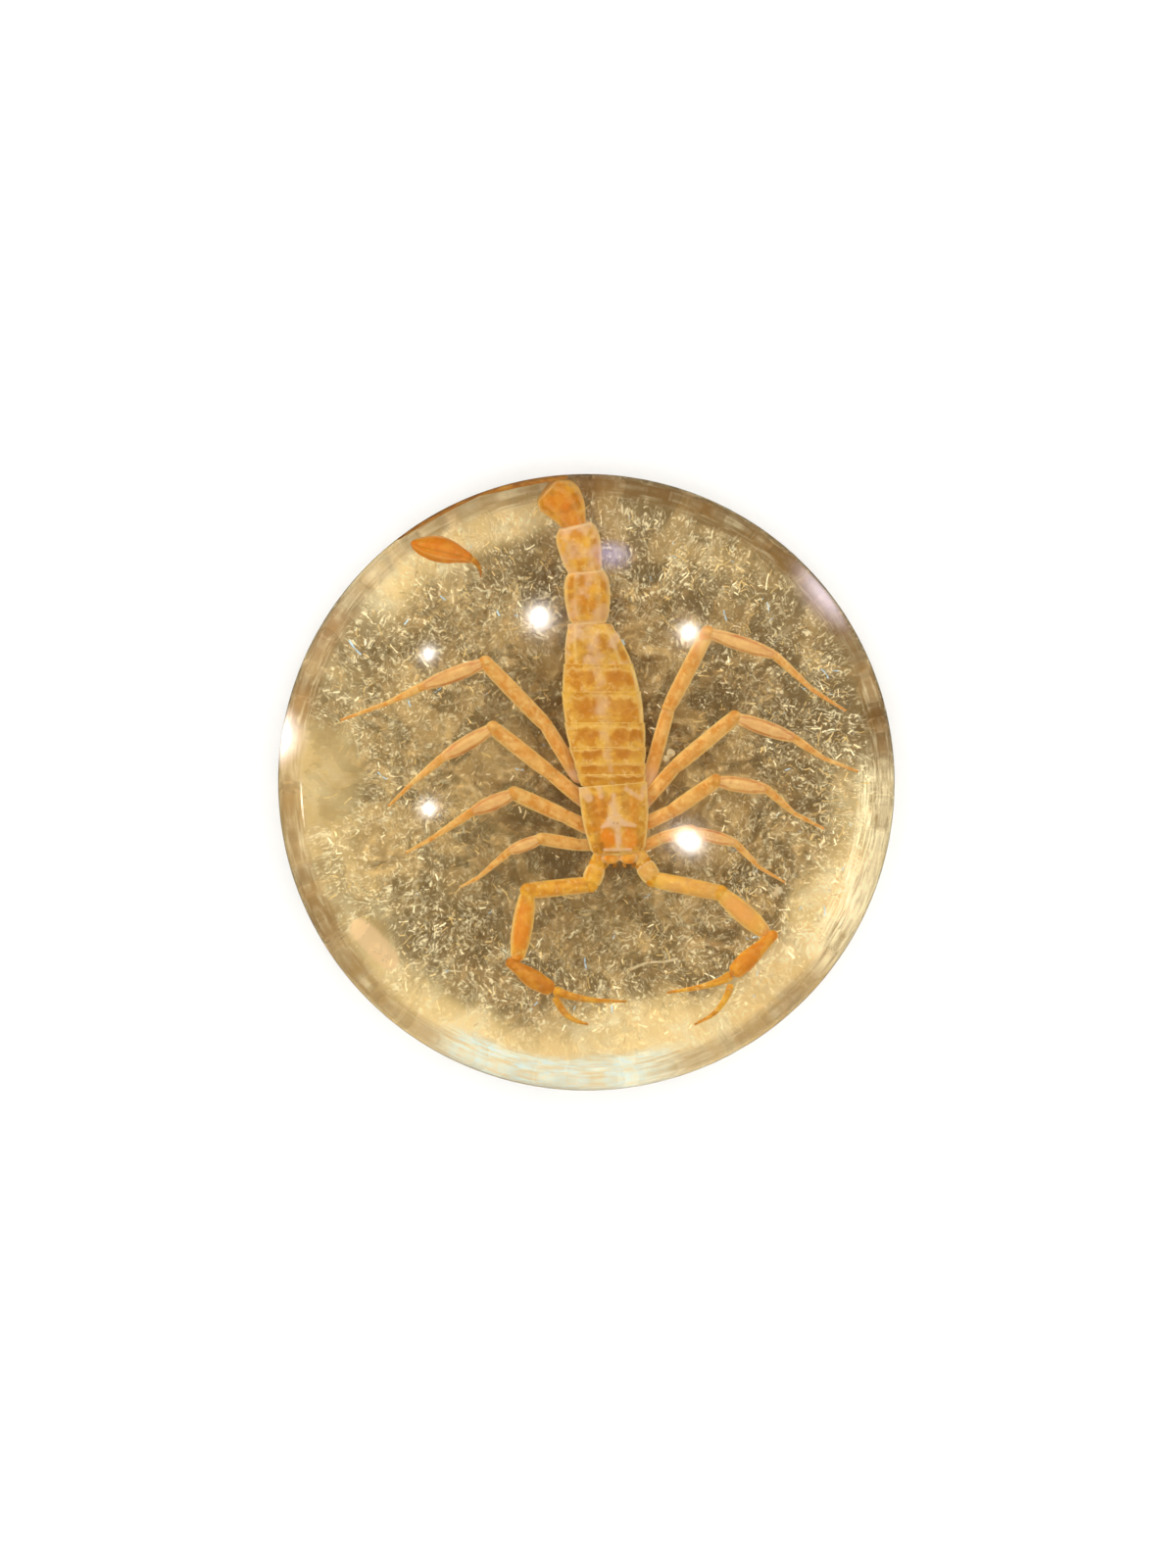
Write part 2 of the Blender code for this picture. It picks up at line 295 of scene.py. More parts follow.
def crumple_group() -> bpy.types.NodeTree:
    """Builds the crease lines of crumpled film: a net of bent cells, and short winding curls.

    Returns:
        A group that puts out a mask of the net and a mask of the curls.
    """
    graph, start, end = new_group(
        "crumple_lines",
        {
            "Scale": ("NodeSocketFloat", 700.0),
            "Width": ("NodeSocketFloat", 0.05),
            "Gap": ("NodeSocketFloat", 0.5),
            "Warp": ("NodeSocketFloat", 0.0008),
        },
        {"Net": "NodeSocketFloat", "Curls": "NodeSocketFloat"},
    )
    place = graph.object_place()
    scale = start.outputs["Scale"]
    drift = graph.add("ShaderNodeTexNoise", {"Vector": place, "Scale": scale, "Detail": 2.0}).outputs[1]
    shifted = graph.add(
        "ShaderNodeVectorMath", {0: drift, "Scale": start.outputs["Warp"]}, operation="SCALE"
    ).outputs[0]
    bent = graph.add("ShaderNodeVectorMath", {0: place, 1: shifted}, operation="ADD").outputs[0]
    cells = graph.add(
        "ShaderNodeTexVoronoi", {"Vector": bent, "Scale": scale}, feature="DISTANCE_TO_EDGE"
    ).outputs[0]
    net = graph.math("SUBTRACT", 1.0, graph.math("DIVIDE", cells, start.outputs["Width"]), clamp=True)
    clouds = graph.noise(place, scale, 1.5, 1.2)
    away = graph.math("ABSOLUTE", graph.math("SUBTRACT", clouds, 0.5))
    thin = graph.math("MULTIPLY", start.outputs["Width"], 0.4)
    curls = graph.math("SUBTRACT", 1.0, graph.math("DIVIDE", away, thin), clamp=True)
    breaks = graph.noise(place, graph.math("MULTIPLY", scale, 0.8), 2.0)
    kept = graph.math("MULTIPLY", graph.math("SUBTRACT", breaks, start.outputs["Gap"]), 9.0, clamp=True)
    graph.feed(end, "Net", graph.math("MULTIPLY", net, kept))
    graph.feed(end, "Curls", graph.math("MULTIPLY", curls, kept))
    return graph.tree


def glitter_group() -> bpy.types.NodeTree:
    """Builds tiny facets that each lean their own way, as in glitter or crumpled leaf.

    Returns:
        A group that puts out the facets' normal and a random tone for each.
    """
    graph, start, end = new_group(
        "glitter_facets",
        {"Scale": ("NodeSocketFloat", 4000.0), "Lean": ("NodeSocketFloat", 0.5)},
        {"Normal": "NodeSocketVector", "Tone": "NodeSocketFloat"},
    )
    cells = graph.add(
        "ShaderNodeTexVoronoi", {"Vector": graph.object_place(), "Scale": start.outputs["Scale"]}
    ).outputs["Color"]
    centred = graph.add("ShaderNodeVectorMath", {0: cells, 1: (0.5, 0.5, 0.5)}, operation="SUBTRACT").outputs[0]
    lean = graph.add(
        "ShaderNodeVectorMath", {0: centred, "Scale": start.outputs["Lean"]}, operation="SCALE"
    ).outputs[0]
    normal = graph.add("ShaderNodeNewGeometry").outputs["Normal"]
    leaning = graph.add("ShaderNodeVectorMath", {0: normal, 1: lean}, operation="ADD").outputs[0]
    unit = graph.add("ShaderNodeVectorMath", {0: leaning}, operation="NORMALIZE").outputs[0]
    graph.feed(end, "Normal", unit)
    graph.feed(end, "Tone", graph.add("ShaderNodeSeparateXYZ", {0: cells}).outputs[0])
    return graph.tree


def foil_group() -> bpy.types.NodeTree:
    """Builds the facets of crumpled foil, each brushed with short strokes that run its own way.

    Returns:
        A group that puts out a random tone for each facet and a mask of the strokes.
    """
    graph, start, end = new_group(
        "foil_facets",
        {
            "Scale": ("NodeSocketFloat", 420.0),
            "Fineness": ("NodeSocketFloat", 6000.0),
            "Cover": ("NodeSocketFloat", 0.6),
        },
        {"Tone": "NodeSocketFloat", "Strokes": "NodeSocketFloat"},
    )
    place = graph.object_place()
    scale = start.outputs["Scale"]
    drift = graph.add("ShaderNodeTexNoise", {"Vector": place, "Scale": scale, "Detail": 2.0}).outputs[1]
    shifted = graph.add("ShaderNodeVectorMath", {0: drift, "Scale": 0.0022}, operation="SCALE").outputs[0]
    bent = graph.add("ShaderNodeVectorMath", {0: place, 1: shifted}, operation="ADD").outputs[0]
    cells = graph.add("ShaderNodeTexVoronoi", {"Vector": bent, "Scale": scale}).outputs["Color"]
    chance = graph.add("ShaderNodeSeparateXYZ", {0: cells})
    angle = graph.math("MULTIPLY", chance.outputs[0], math.pi)
    turned = graph.add("ShaderNodeVectorRotate", {"Vector": bent, "Angle": angle}, rotation_type="Z_AXIS")
    drawn = graph.add("ShaderNodeVectorMath", {0: turned.outputs[0], 1: (1.0, 0.14, 1.0)}, operation="MULTIPLY")
    streak = graph.noise(drawn.outputs[0], start.outputs["Fineness"], 1.0, 0.25)
    cover = start.outputs["Cover"]
    strokes_mask = graph.span(streak, cover, graph.math("ADD", cover, 0.12))
    clouds = graph.noise(place, graph.math("MULTIPLY", scale, 2.6), 2.0)
    strokes_mask = graph.math("MULTIPLY", strokes_mask, graph.span(clouds, 0.36, 0.66, 0.30, 1.0))
    brushed = graph.span(chance.outputs[1], 0.0, 0.5, 0.30, 1.0)
    graph.feed(end, "Tone", chance.outputs[2])
    graph.feed(end, "Strokes", graph.math("MULTIPLY", strokes_mask, brushed))
    return graph.tree


class SharedGroups:
    """Shader node groups that are built once and used in several finishes."""

    def __init__(self) -> None:
        """Builds the groups."""
        self.grain = shell_grain_group()
        self.crumple = crumple_group()
        self.glitter = glitter_group()
        self.foil = foil_group()


def new_material(name: str) -> tuple[bpy.types.Material, Graph, bpy.types.Node, bpy.types.Node]:
    """Starts a material.

    Args:
        name: Name of the material.

    Returns:
        The material, its graph, its Principled shader and its output node.
    """
    material = bpy.data.materials.new(name)
    material.use_nodes = True
    material.node_tree.nodes.clear()
    graph = Graph(material.node_tree)
    shader = graph.add("ShaderNodeBsdfPrincipled")
    output = graph.add("ShaderNodeOutputMaterial", {"Surface": shader.outputs[0]})
    return material, graph, shader, output


@dataclass(frozen=True)
class ShellFinish:
    """Satin, slightly see-through horn with painted markings; its pale side edges are partly a painted sheen."""

    name: str
    slot: Slot
    base: Colour
    deep: Colour
    pale: Colour = paint_colour(254, 226, 152)
    milky: Colour = paint_colour(240, 204, 168)
    dark: Colour = paint_colour(170, 104, 10)
    warm: Colour = paint_colour(236, 136, 14)
    rust: Colour = paint_colour(198, 98, 34)
    roughness: float = 0.42
    bump: float = 0.55

    def material(self, groups: SharedGroups) -> bpy.types.Material:
        """Builds the material.

        Args:
            groups: The shared node groups.

        Returns:
            The material.
        """
        material, graph, shader, _ = new_material(self.name)
        grain = graph.add("ShaderNodeGroup", node_tree=groups.grain)
        graph.feed(grain, "Cloud Scale", 850.0)
        graph.feed(grain, "Grain Scale", 5200.0)
        mottle = grain.outputs["Mottle"]
        depth = graph.math("MAXIMUM", mottle, graph.painted(Mark.STREAK.value))
        colour = graph.blend(depth, self.base, self.deep)
        colour = graph.blend(graph.math("MULTIPLY", grain.outputs["Fleck"], 0.45), colour, self.pale)
        patchy = graph.span(mottle, 0.0, 1.0, 0.65, 1.0)
        shades = {
            Mark.WARM: self.warm,
            Mark.DARK: self.dark,
            Mark.PALE: self.pale,
            Mark.MILKY: self.milky,
            Mark.RUST: self.rust,
        }
        for mark, shade in shades.items():
            share = graph.math("MULTIPLY", graph.painted(mark.value), patchy, clamp=True)
            colour = graph.blend(share, colour, shade)
        graph.feed(shader, "Base Color", colour)
        graph.feed(shader, "Roughness", graph.span(mottle, 0.0, 1.0, self.roughness, self.roughness + 0.14))
        relief = {"Height": grain.outputs["Height"], "Strength": self.bump, "Distance": 0.00009}
        graph.feed(shader, "Normal", graph.add("ShaderNodeBump", relief).outputs[0])
        shader.inputs["Specular IOR Level"].default_value = 0.22
        shader.inputs["Subsurface Weight"].default_value = 0.15
        shader.inputs["Subsurface Radius"].default_value = (1.0, 0.6, 0.3)
        shader.inputs["Subsurface Scale"].default_value = 0.0006
        return material


@dataclass(frozen=True)
class ResinFinish:
    """Polished clear casting resin, faintly warm."""

    tint: Colour = (0.95, 0.874, 0.60, 1.0)
    density: float = 17.0
    ior: float = 1.5
    shine: Colour = (0.42, 0.42, 0.42, 1.0)

    def material(self) -> bpy.types.Material:
        """Builds the material, which lets lamps through so that the inside is lit.

        Returns:
            The material.
        """
        material, graph, shader, output = new_material("clear_resin")
        shader.inputs["Base Color"].default_value = (1.0, 1.0, 1.0, 1.0)
        shader.inputs["Transmission Weight"].default_value = 1.0
        shader.inputs["Metallic"].default_value = 0.0
        shader.inputs["IOR"].default_value = self.ior
        shader.inputs["Specular Tint"].default_value = self.shine
        clouds = graph.noise(graph.object_place(), 90.0)
        graph.feed(shader, "Roughness", graph.span(clouds, 0.3, 0.7, 0.05, 0.066))
        waves = graph.noise(graph.object_place(), 160.0, 1.0)
        relief = {"Height": waves, "Strength": 0.12, "Distance": 0.00005}
        graph.feed(shader, "Normal", graph.add("ShaderNodeBump", relief).outputs[0])
        shadow = graph.add("ShaderNodeLightPath").outputs["Is Shadow Ray"]
        through = graph.add("ShaderNodeBsdfTransparent").outputs[0]
        mixed = graph.add("ShaderNodeMixShader", {0: shadow, 1: shader.outputs[0], 2: through})
        graph.feed(output, "Surface", mixed.outputs[0])
        absorb = graph.add("ShaderNodeVolumeAbsorption", {"Color": self.tint, "Density": self.density})
        graph.feed(output, "Volume", absorb.outputs[0])
        return material


@dataclass(frozen=True)
class FilmFinish:
    """Crinkled metallised film; its pale gold creases, fine glints, sheen and golden rim are painted highlights and
    glow, with painted shade in spots and near its rim.
    """

    taupe: Colour = paint_colour(126, 103, 64)
    olive: Colour = paint_colour(180, 151, 100)
    plain: Colour = paint_colour(164, 138, 86)
    # gold: colour of the painted glow on the film's rim and front crescent
    gold: Colour = paint_colour(255, 228, 166)
    cream: Colour = paint_colour(244, 212, 168)
    # painted_glint: near-white colour of the painted highlights on creases, strokes, sparks and puckers
    painted_glint: Colour = paint_colour(255, 246, 210)
    # sheen: pale cyan of the painted reflection along the bottom edge
    sheen: Colour = paint_colour(206, 240, 255)
    # umber: dark streaks where the film puckers, and the painted shade of the ring and outline near the dome's edge
    umber_and_shade: Colour = paint_colour(138, 98, 44)

    def material(self, groups: SharedGroups) -> bpy.types.Material:
        """Builds the material.

        Args:
            groups: The shared node groups.

        Returns:
            The material.
        """
        material, graph, shader, _ = new_material("gold_film")
        place = graph.object_place()
        clouds = graph.span(graph.noise(place, 260.0, 4.0, 0.8), 0.34, 0.68)
        crinkled = graph.painted("crinkled")
        inputs = {"Scale": 560.0, "Fineness": 6000.0, "Cover": 0.53}
        foil = graph.add("ShaderNodeGroup", inputs, node_tree=groups.foil)
        colour = graph.blend(clouds, self.taupe, self.olive)
        colour = graph.blend(graph.math("MULTIPLY", foil.outputs["Tone"], 0.14), colour, self.taupe)
        colour = graph.blend(graph.painted("plain"), colour, self.plain)
        # painted glow: the film's rim and front crescent are painted a brighter gold, standing in for light that the
        # dome gathers there
        painted_rim_glow = graph.painted("rim")
        colour = graph.blend(painted_rim_glow, colour, self.gold)
        # painted highlight: soft white-gold glare over the golden rim
        painted_glare = graph.span(graph.noise(place, 520.0, 4.0, 0.6), 0.40, 0.74)
        colour = graph.blend(graph.math("MULTIPLY", graph.math("MULTIPLY", painted_glare, painted_rim_glow), 0.75), colour, self.painted_glint)
        # painted shade: darker spots on the film
        colour = graph.blend(graph.painted("shaded"), colour, self.taupe)
        # painted highlights: the crease net and the foil strokes are painted in the pale glint colour where they would
        # catch the light
        net = self.creases(graph, groups, 720.0, 0.05, 0.47)
        threads = graph.math("MAXIMUM", net.outputs["Net"], net.outputs["Curls"])
        lines = graph.math("MAXIMUM", foil.outputs["Strokes"], graph.math("MULTIPLY", threads, 0.35))
        lines = graph.math("MULTIPLY", lines, graph.painted("brushed"), clamp=True)
        colour = graph.blend(lines, colour, self.painted_glint)
        # painted glints: small bright sparks over the film
        painted_sparks = graph.span(graph.noise(place, 2300.0, 2.0, 1.6), 0.61, 0.67)
        painted_sparks = graph.math("MULTIPLY", painted_sparks, graph.painted("sparkling"))
        colour = graph.blend(painted_sparks, colour, self.painted_glint)
        colour = graph.blend(graph.painted("cream"), colour, self.cream)
        seen = self.seen_share(graph, place)
        puckers = self.puckers(graph, place, seen)
        # painted shade: a darker ring near the dome's edge and a dark outline at the rim, with dark streaks where the
        # film puckers
        shaded_rim_share = graph.math("SUBTRACT", graph.painted("puckered"), graph.painted("sheen"), clamp=True)
        band = graph.math("MULTIPLY", graph.span(seen, 0.86, 0.93, 0.0, 0.48), shaded_rim_share)
        colour = graph.blend(band, colour, self.umber_and_shade)
        streaks = graph.math("MULTIPLY", graph.span(puckers, 0.47, 0.56), shaded_rim_share)
        colour = graph.blend(graph.math("MULTIPLY", streaks, 0.40), colour, self.umber_and_shade)
        colour = graph.blend(graph.span(seen, 0.965, 0.99, 0.0, 0.85), colour, self.umber_and_shade)
        # painted reflection: pale cyan gleams along the bottom edge
        gleams = graph.math("MULTIPLY", graph.span(puckers, 0.53, 0.49), graph.painted("sheen"))
        colour = graph.blend(gleams, colour, self.sheen)
        # painted highlights: bright streaks on the puckered rim
        painted_pucker_glints = graph.math("MULTIPLY", graph.span(puckers, 0.44, 0.39), graph.painted("puckered"))
        colour = graph.blend(graph.math("MULTIPLY", painted_pucker_glints, 0.9), colour, self.painted_glint)
        # painted glints: on the puckered right rim
        glinting = graph.math("MULTIPLY", graph.span(puckers, 0.51, 0.47), graph.painted("glinting"))
        colour = graph.blend(glinting, colour, self.painted_glint)
        sparkling = graph.span(graph.noise(place, 500.0, 2.0), 0.50, 0.62, 0.04, 0.5)
        leaning = graph.math("MULTIPLY", sparkling, crinkled)
        glitter = graph.add("ShaderNodeGroup", {"Scale": 5200.0, "Lean": leaning}, node_tree=groups.glitter)
        graph.feed(shader, "Base Color", colour)
        # painted glow: emission makes the painted glints, sparks and gleams shine brighter than the film's lighting
        # gives
        glints = graph.math("MULTIPLY", lines, graph.span(painted_rim_glow, 0.0, 0.6, 0.10, 0.30))
        glints = graph.math("MAXIMUM", glints, graph.math("MULTIPLY", painted_sparks, 0.48))
        glints = graph.math("MAXIMUM", glints, graph.math("MULTIPLY", glinting, 0.45))
        graph.feed(shader, "Emission Color", colour)
        graph.feed(shader, "Emission Strength", graph.math("MAXIMUM", glints, graph.math("MULTIPLY", gleams, 0.32)))
        graph.feed(shader, "Metallic", graph.span(graph.math("MAXIMUM", lines, painted_rim_glow), 0.0, 1.0, 0.50, 0.15))
        graph.feed(shader, "Roughness", graph.span(clouds, 0.0, 1.0, 0.22, 0.34))
        height = graph.math("MULTIPLY_ADD", lines, 0.6, graph.math("MULTIPLY", clouds, crinkled))
        relief = {"Height": height, "Strength": 0.7, "Distance": 0.00012, "Normal": glitter.outputs["Normal"]}
        graph.feed(shader, "Normal", graph.add("ShaderNodeBump", relief).outputs[0])
        return material

    @staticmethod
    def creases(
        graph: Graph, groups: SharedGroups, scale: float, width: float, gap: float
    ) -> bpy.types.Node:
        """Places the crease group with its own values.

        Args:
            graph: The material's graph.
            groups: The shared node groups.
            scale: Creases per metre.
            width: Width of a crease, as a share of a cell.
            gap: How often a crease breaks off.

        Returns:
            The group's node.
        """
        inputs = {"Scale": scale, "Width": width, "Gap": gap}
        return graph.add("ShaderNodeGroup", inputs, node_tree=groups.crumple)

    @staticmethod
    def seen_share(graph: Graph, place: Any) -> Any:
        """Gives about where the dome shows a place from above, from 0 at its middle to 1 at its rim.

        Args:
            graph: The material's graph.
            place: The place on the film.

        Returns:
            The share of the dome's radius; the dome squeezes the film's edge into a thin line.
        """
        flat = graph.add("ShaderNodeVectorMath", {0: place, 1: (1.0, 1.0, 0.0)}, operation="MULTIPLY")
        reach = graph.add("ShaderNodeVectorMath", {0: flat.outputs[0]}, operation="LENGTH").outputs["Value"]
        short = graph.math("MULTIPLY_ADD", reach, -1.0 / (SEEN_REACH * MM), 1.0)
        inside = graph.math("POWER", graph.math("MAXIMUM", short, 0.0), 0.62)
        beyond = graph.math("MAXIMUM", graph.math("MULTIPLY", short, -1.0), 0.0)
        return graph.math("ADD", graph.math("SUBTRACT", 1.0, inside), beyond)

    @staticmethod
    def puckers(graph: Graph, place: Any, seen: Any) -> Any:
        """Gives thin streaks that run round the axis, where the film puckers.

        Args:
            graph: The material's graph.
            place: The place on the film.
            seen: How far from the axis the dome shows the place.

        Returns:
            The streaks' noise.
        """
        flat = graph.add("ShaderNodeVectorMath", {0: place, 1: (1.0, 1.0, 0.0)}, operation="MULTIPLY")
        bearing = graph.add("ShaderNodeVectorMath", {0: flat.outputs[0]}, operation="NORMALIZE")
        along = graph.add("ShaderNodeVectorMath", {0: bearing.outputs[0], "Scale": 0.0021}, operation="SCALE")
        spread = graph.add("ShaderNodeCombineXYZ", {2: graph.math("MULTIPLY", seen, 2.4 * SEEN_REACH * MM)}).outputs[0]
        polar = graph.add("ShaderNodeVectorMath", {0: along.outputs[0], 1: spread}, operation="ADD")
        return graph.noise(polar.outputs[0], 5200.0, 4.0)


@dataclass(frozen=True)
class FlakeFinish:
    """Tiny bright flakes of metal leaf in gold, white and blue tones, the brighter ones with a painted glow."""

    dull: Colour = paint_colour(222, 194, 134)
    gold: Colour = paint_colour(246, 218, 146)
    white: Colour = paint_colour(255, 248, 216)
    blue: Colour = paint_colour(170, 204, 232)

    def material(self) -> bpy.types.Material:
        """Builds the material, whose tone changes from flake to flake.

        Returns:
            The material.
        """
        material, graph, shader, _ = new_material("metal_flakes")
        tone = graph.painted("tone")
        colour = graph.blend(graph.span(tone, 0.0, 0.70), self.dull, self.gold)
        colour = graph.blend(graph.span(tone, 0.70, 0.92), colour, self.white)
        colour = graph.blend(graph.span(tone, 0.97, 0.98), colour, self.blue)
        graph.feed(shader, "Base Color", colour)
        graph.feed(shader, "Roughness", graph.span(tone, 0.0, 1.0, 0.40, 0.20))
        shader.inputs["Metallic"].default_value = 0.2
        # painted glint: the brighter flakes glow by emission
        graph.feed(shader, "Emission Color", colour)
        graph.feed(shader, "Emission Strength", graph.span(tone, 0.60, 0.97, 0.0, 0.75))
        return material


@dataclass(frozen=True)
class FibreFinish:
    """Fine pale threads and hairs."""

    name: str
    colour: Colour
    tip: Colour

    def material(self) -> bpy.types.Material:
        """Builds the material.

        Returns:
            The material.
        """
        material, graph, shader, _ = new_material(self.name)
        clouds = graph.span(graph.noise(graph.object_place(), 1800.0), 0.35, 0.65)
        graph.feed(shader, "Base Color", graph.blend(clouds, self.colour, self.tip))
        graph.feed(shader, "Roughness", graph.span(clouds, 0.0, 1.0, 0.4, 0.6))
        return material


@dataclass(frozen=True)
class FloorFinish:
    """Plain pale paper."""

    white: Colour = (0.64, 0.64, 0.635, 1.0)
    shade: Colour = (0.62, 0.62, 0.615, 1.0)

    def material(self) -> bpy.types.Material:
        """Builds the material.

        Returns:
            The material.
        """
        material, graph, shader, _ = new_material("pale_floor")
        tooth = graph.noise(graph.object_place(), 900.0, 3.0)
        graph.feed(shader, "Base Color", graph.blend(tooth, self.white, self.shade))
        shader.inputs["Roughness"].default_value = 0.9
        shader.inputs["Specular IOR Level"].default_value = 0.1
        return material


class LatticeNoise:
    """Smooth seeded noise on a square lattice, for shaping the film."""

    def __init__(self, seed: int, cell: float) -> None:
        """Draws the lattice.

        Args:
            seed: Seed of the random numbers.
            cell: Size of a lattice square in millimetres.
        """
        self.cell = cell
        self.count = int(90.0 / cell) + 4
        self.values = np.random.default_rng(seed).random((self.count, self.count))

    def at(self, x: Array, y: Array) -> Array:
        """Reads the noise.

        Args:
            x: Places in millimetres.
            y: Places in millimetres.

        Returns:
            Numbers from 0 to 1.
        """
        column = np.clip((x + 42.0) / self.cell, 0.0, self.count - 2.001)
        row = np.clip((y + 42.0) / self.cell, 0.0, self.count - 2.001)
        i, j = column.astype(int), row.astype(int)
        u, v = column - i, row - j
        u, v = u * u * (3 - 2 * u), v * v * (3 - 2 * v)
        low = self.values[i, j] * (1 - u) + self.values[i + 1, j] * u
        high = self.values[i, j + 1] * (1 - u) + self.values[i + 1, j + 1] * u
        return low * (1 - v) + high * v


@dataclass
class Patch:
    """Points and faces of a form, in millimetres, with the values painted on its points."""

    points: Array
    faces: list[tuple[int, ...]]
    paint: dict[str, Array] = field(default_factory=dict)


def join_patches(patches: Sequence[Patch]) -> Patch:
    """Puts several forms into one.

    Args:
        patches: Forms to join.

    Returns:
        One form with all their points, faces and painted values.
    """
    names = {name for patch in patches for name in patch.paint}
    faces: list[tuple[int, ...]] = []
    start = 0
    for patch in patches:
        faces += [tuple(index + start for index in face) for face in patch.faces]
        start += len(patch.points)
    paint = {
        name: np.concatenate([patch.paint.get(name, np.zeros(len(patch.points))) for patch in patches])
        for name in sorted(names)
    }
    return Patch(np.vstack([patch.points for patch in patches]), faces, paint)


def mesh_of(name: str, patch: Patch) -> bpy.types.Mesh:
    """Makes a smooth mesh in metres from a form.

    Args:
        name: Name of the mesh.
        patch: The form.

    Returns:
        The mesh, with each painted value as an attribute of its points.
    """
    mesh = bpy.data.meshes.new(name)
    mesh.from_pydata((patch.points * MM).tolist(), [], patch.faces)
    mesh.update()
    mesh.shade_smooth()
    for label, values in patch.paint.items():
        layer = mesh.attributes.new(label, "FLOAT", "POINT")
        layer.data.foreach_set("value", np.clip(values, 0.0, 1.0).astype(np.float32))
    return mesh


def add_object(name: str, mesh: bpy.types.Mesh) -> bpy.types.Object:
    """Puts a mesh into the scene under a name.

    Args:
        name: Name of the object.
        mesh: Its mesh.

    Returns:
        The object, at the origin.
    """
    thing = bpy.data.objects.new(name, mesh)
    bpy.context.scene.collection.objects.link(thing)
    return thing


def triangle_count(mesh: bpy.types.Mesh) -> int:
    """Counts the triangles that a mesh's faces make."""
    return sum(len(polygon.vertices) - 2 for polygon in mesh.polygons)


def put_in_frame(
    thing: bpy.types.Object, material: bpy.types.Material, nodes: Sequence[str] = ()
) -> None:
    """Dresses a piece, lets it ride on the body and says which nodes it stands for.

    Args:
        thing: The piece.
        material: Its material.
        nodes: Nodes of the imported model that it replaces.
    """
    thing.data.materials.clear()
    thing.data.materials.append(material)
    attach(thing, BODY)
    if nodes:
        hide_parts(*nodes)
    log.info("%s: %d triangles, replaces %s", thing.name, triangle_count(thing.data), list(nodes))


@dataclass(frozen=True)
class Station:
    """One cross-section of a loft: its middle, half width, and reach up and down."""

    middle: Point
    half_width: float
    rise: float
    sink: float


@dataclass(frozen=True)
class Surface:
    """Where each point of a loft lies, for relief and paint to be worked out on."""

    across: Array
    height: Array
    along: Array
    x: Array
    y: Array


Field = Callable[[Surface], Array]


def nothing(surface: Surface) -> Array:
    """Gives 0 everywhere on a surface."""
    return np.zeros_like(surface.x)


def smooth_rows(rows: Array, shares: Array) -> Array:
    """Reads a smooth curve through rows of numbers at shares of its length.

    Args:
        rows: The numbers to pass through, with the place in the first three columns.
        shares: Shares of the length from 0 to 1.

    Returns:
        One row for each share.
    """
    padded = np.vstack([2 * rows[0] - rows[1], rows, 2 * rows[-1] - rows[-2]])
    steps = np.linspace(0.0, 1.0, 16, endpoint=False)[:, None]
    fine = []
    for start in range(len(rows) - 1):
        before, first, second, after = padded[start : start + 4]
        fine.append(
            0.5
            * (
                2 * first
                + (second - before) * steps
                + (2 * before - 5 * first + 4 * second - after) * steps**2
                + (3 * first - before - 3 * second + after) * steps**3
            )
        )
    curve = np.vstack([*fine, rows[-1:]])
    lengths = np.linalg.norm(np.diff(curve[:, :3], axis=0), axis=1)
    reach = np.concatenate([[0.0], np.cumsum(lengths)]) / lengths.sum()
    return np.column_stack([np.interp(shares, reach, column) for column in curve.T])


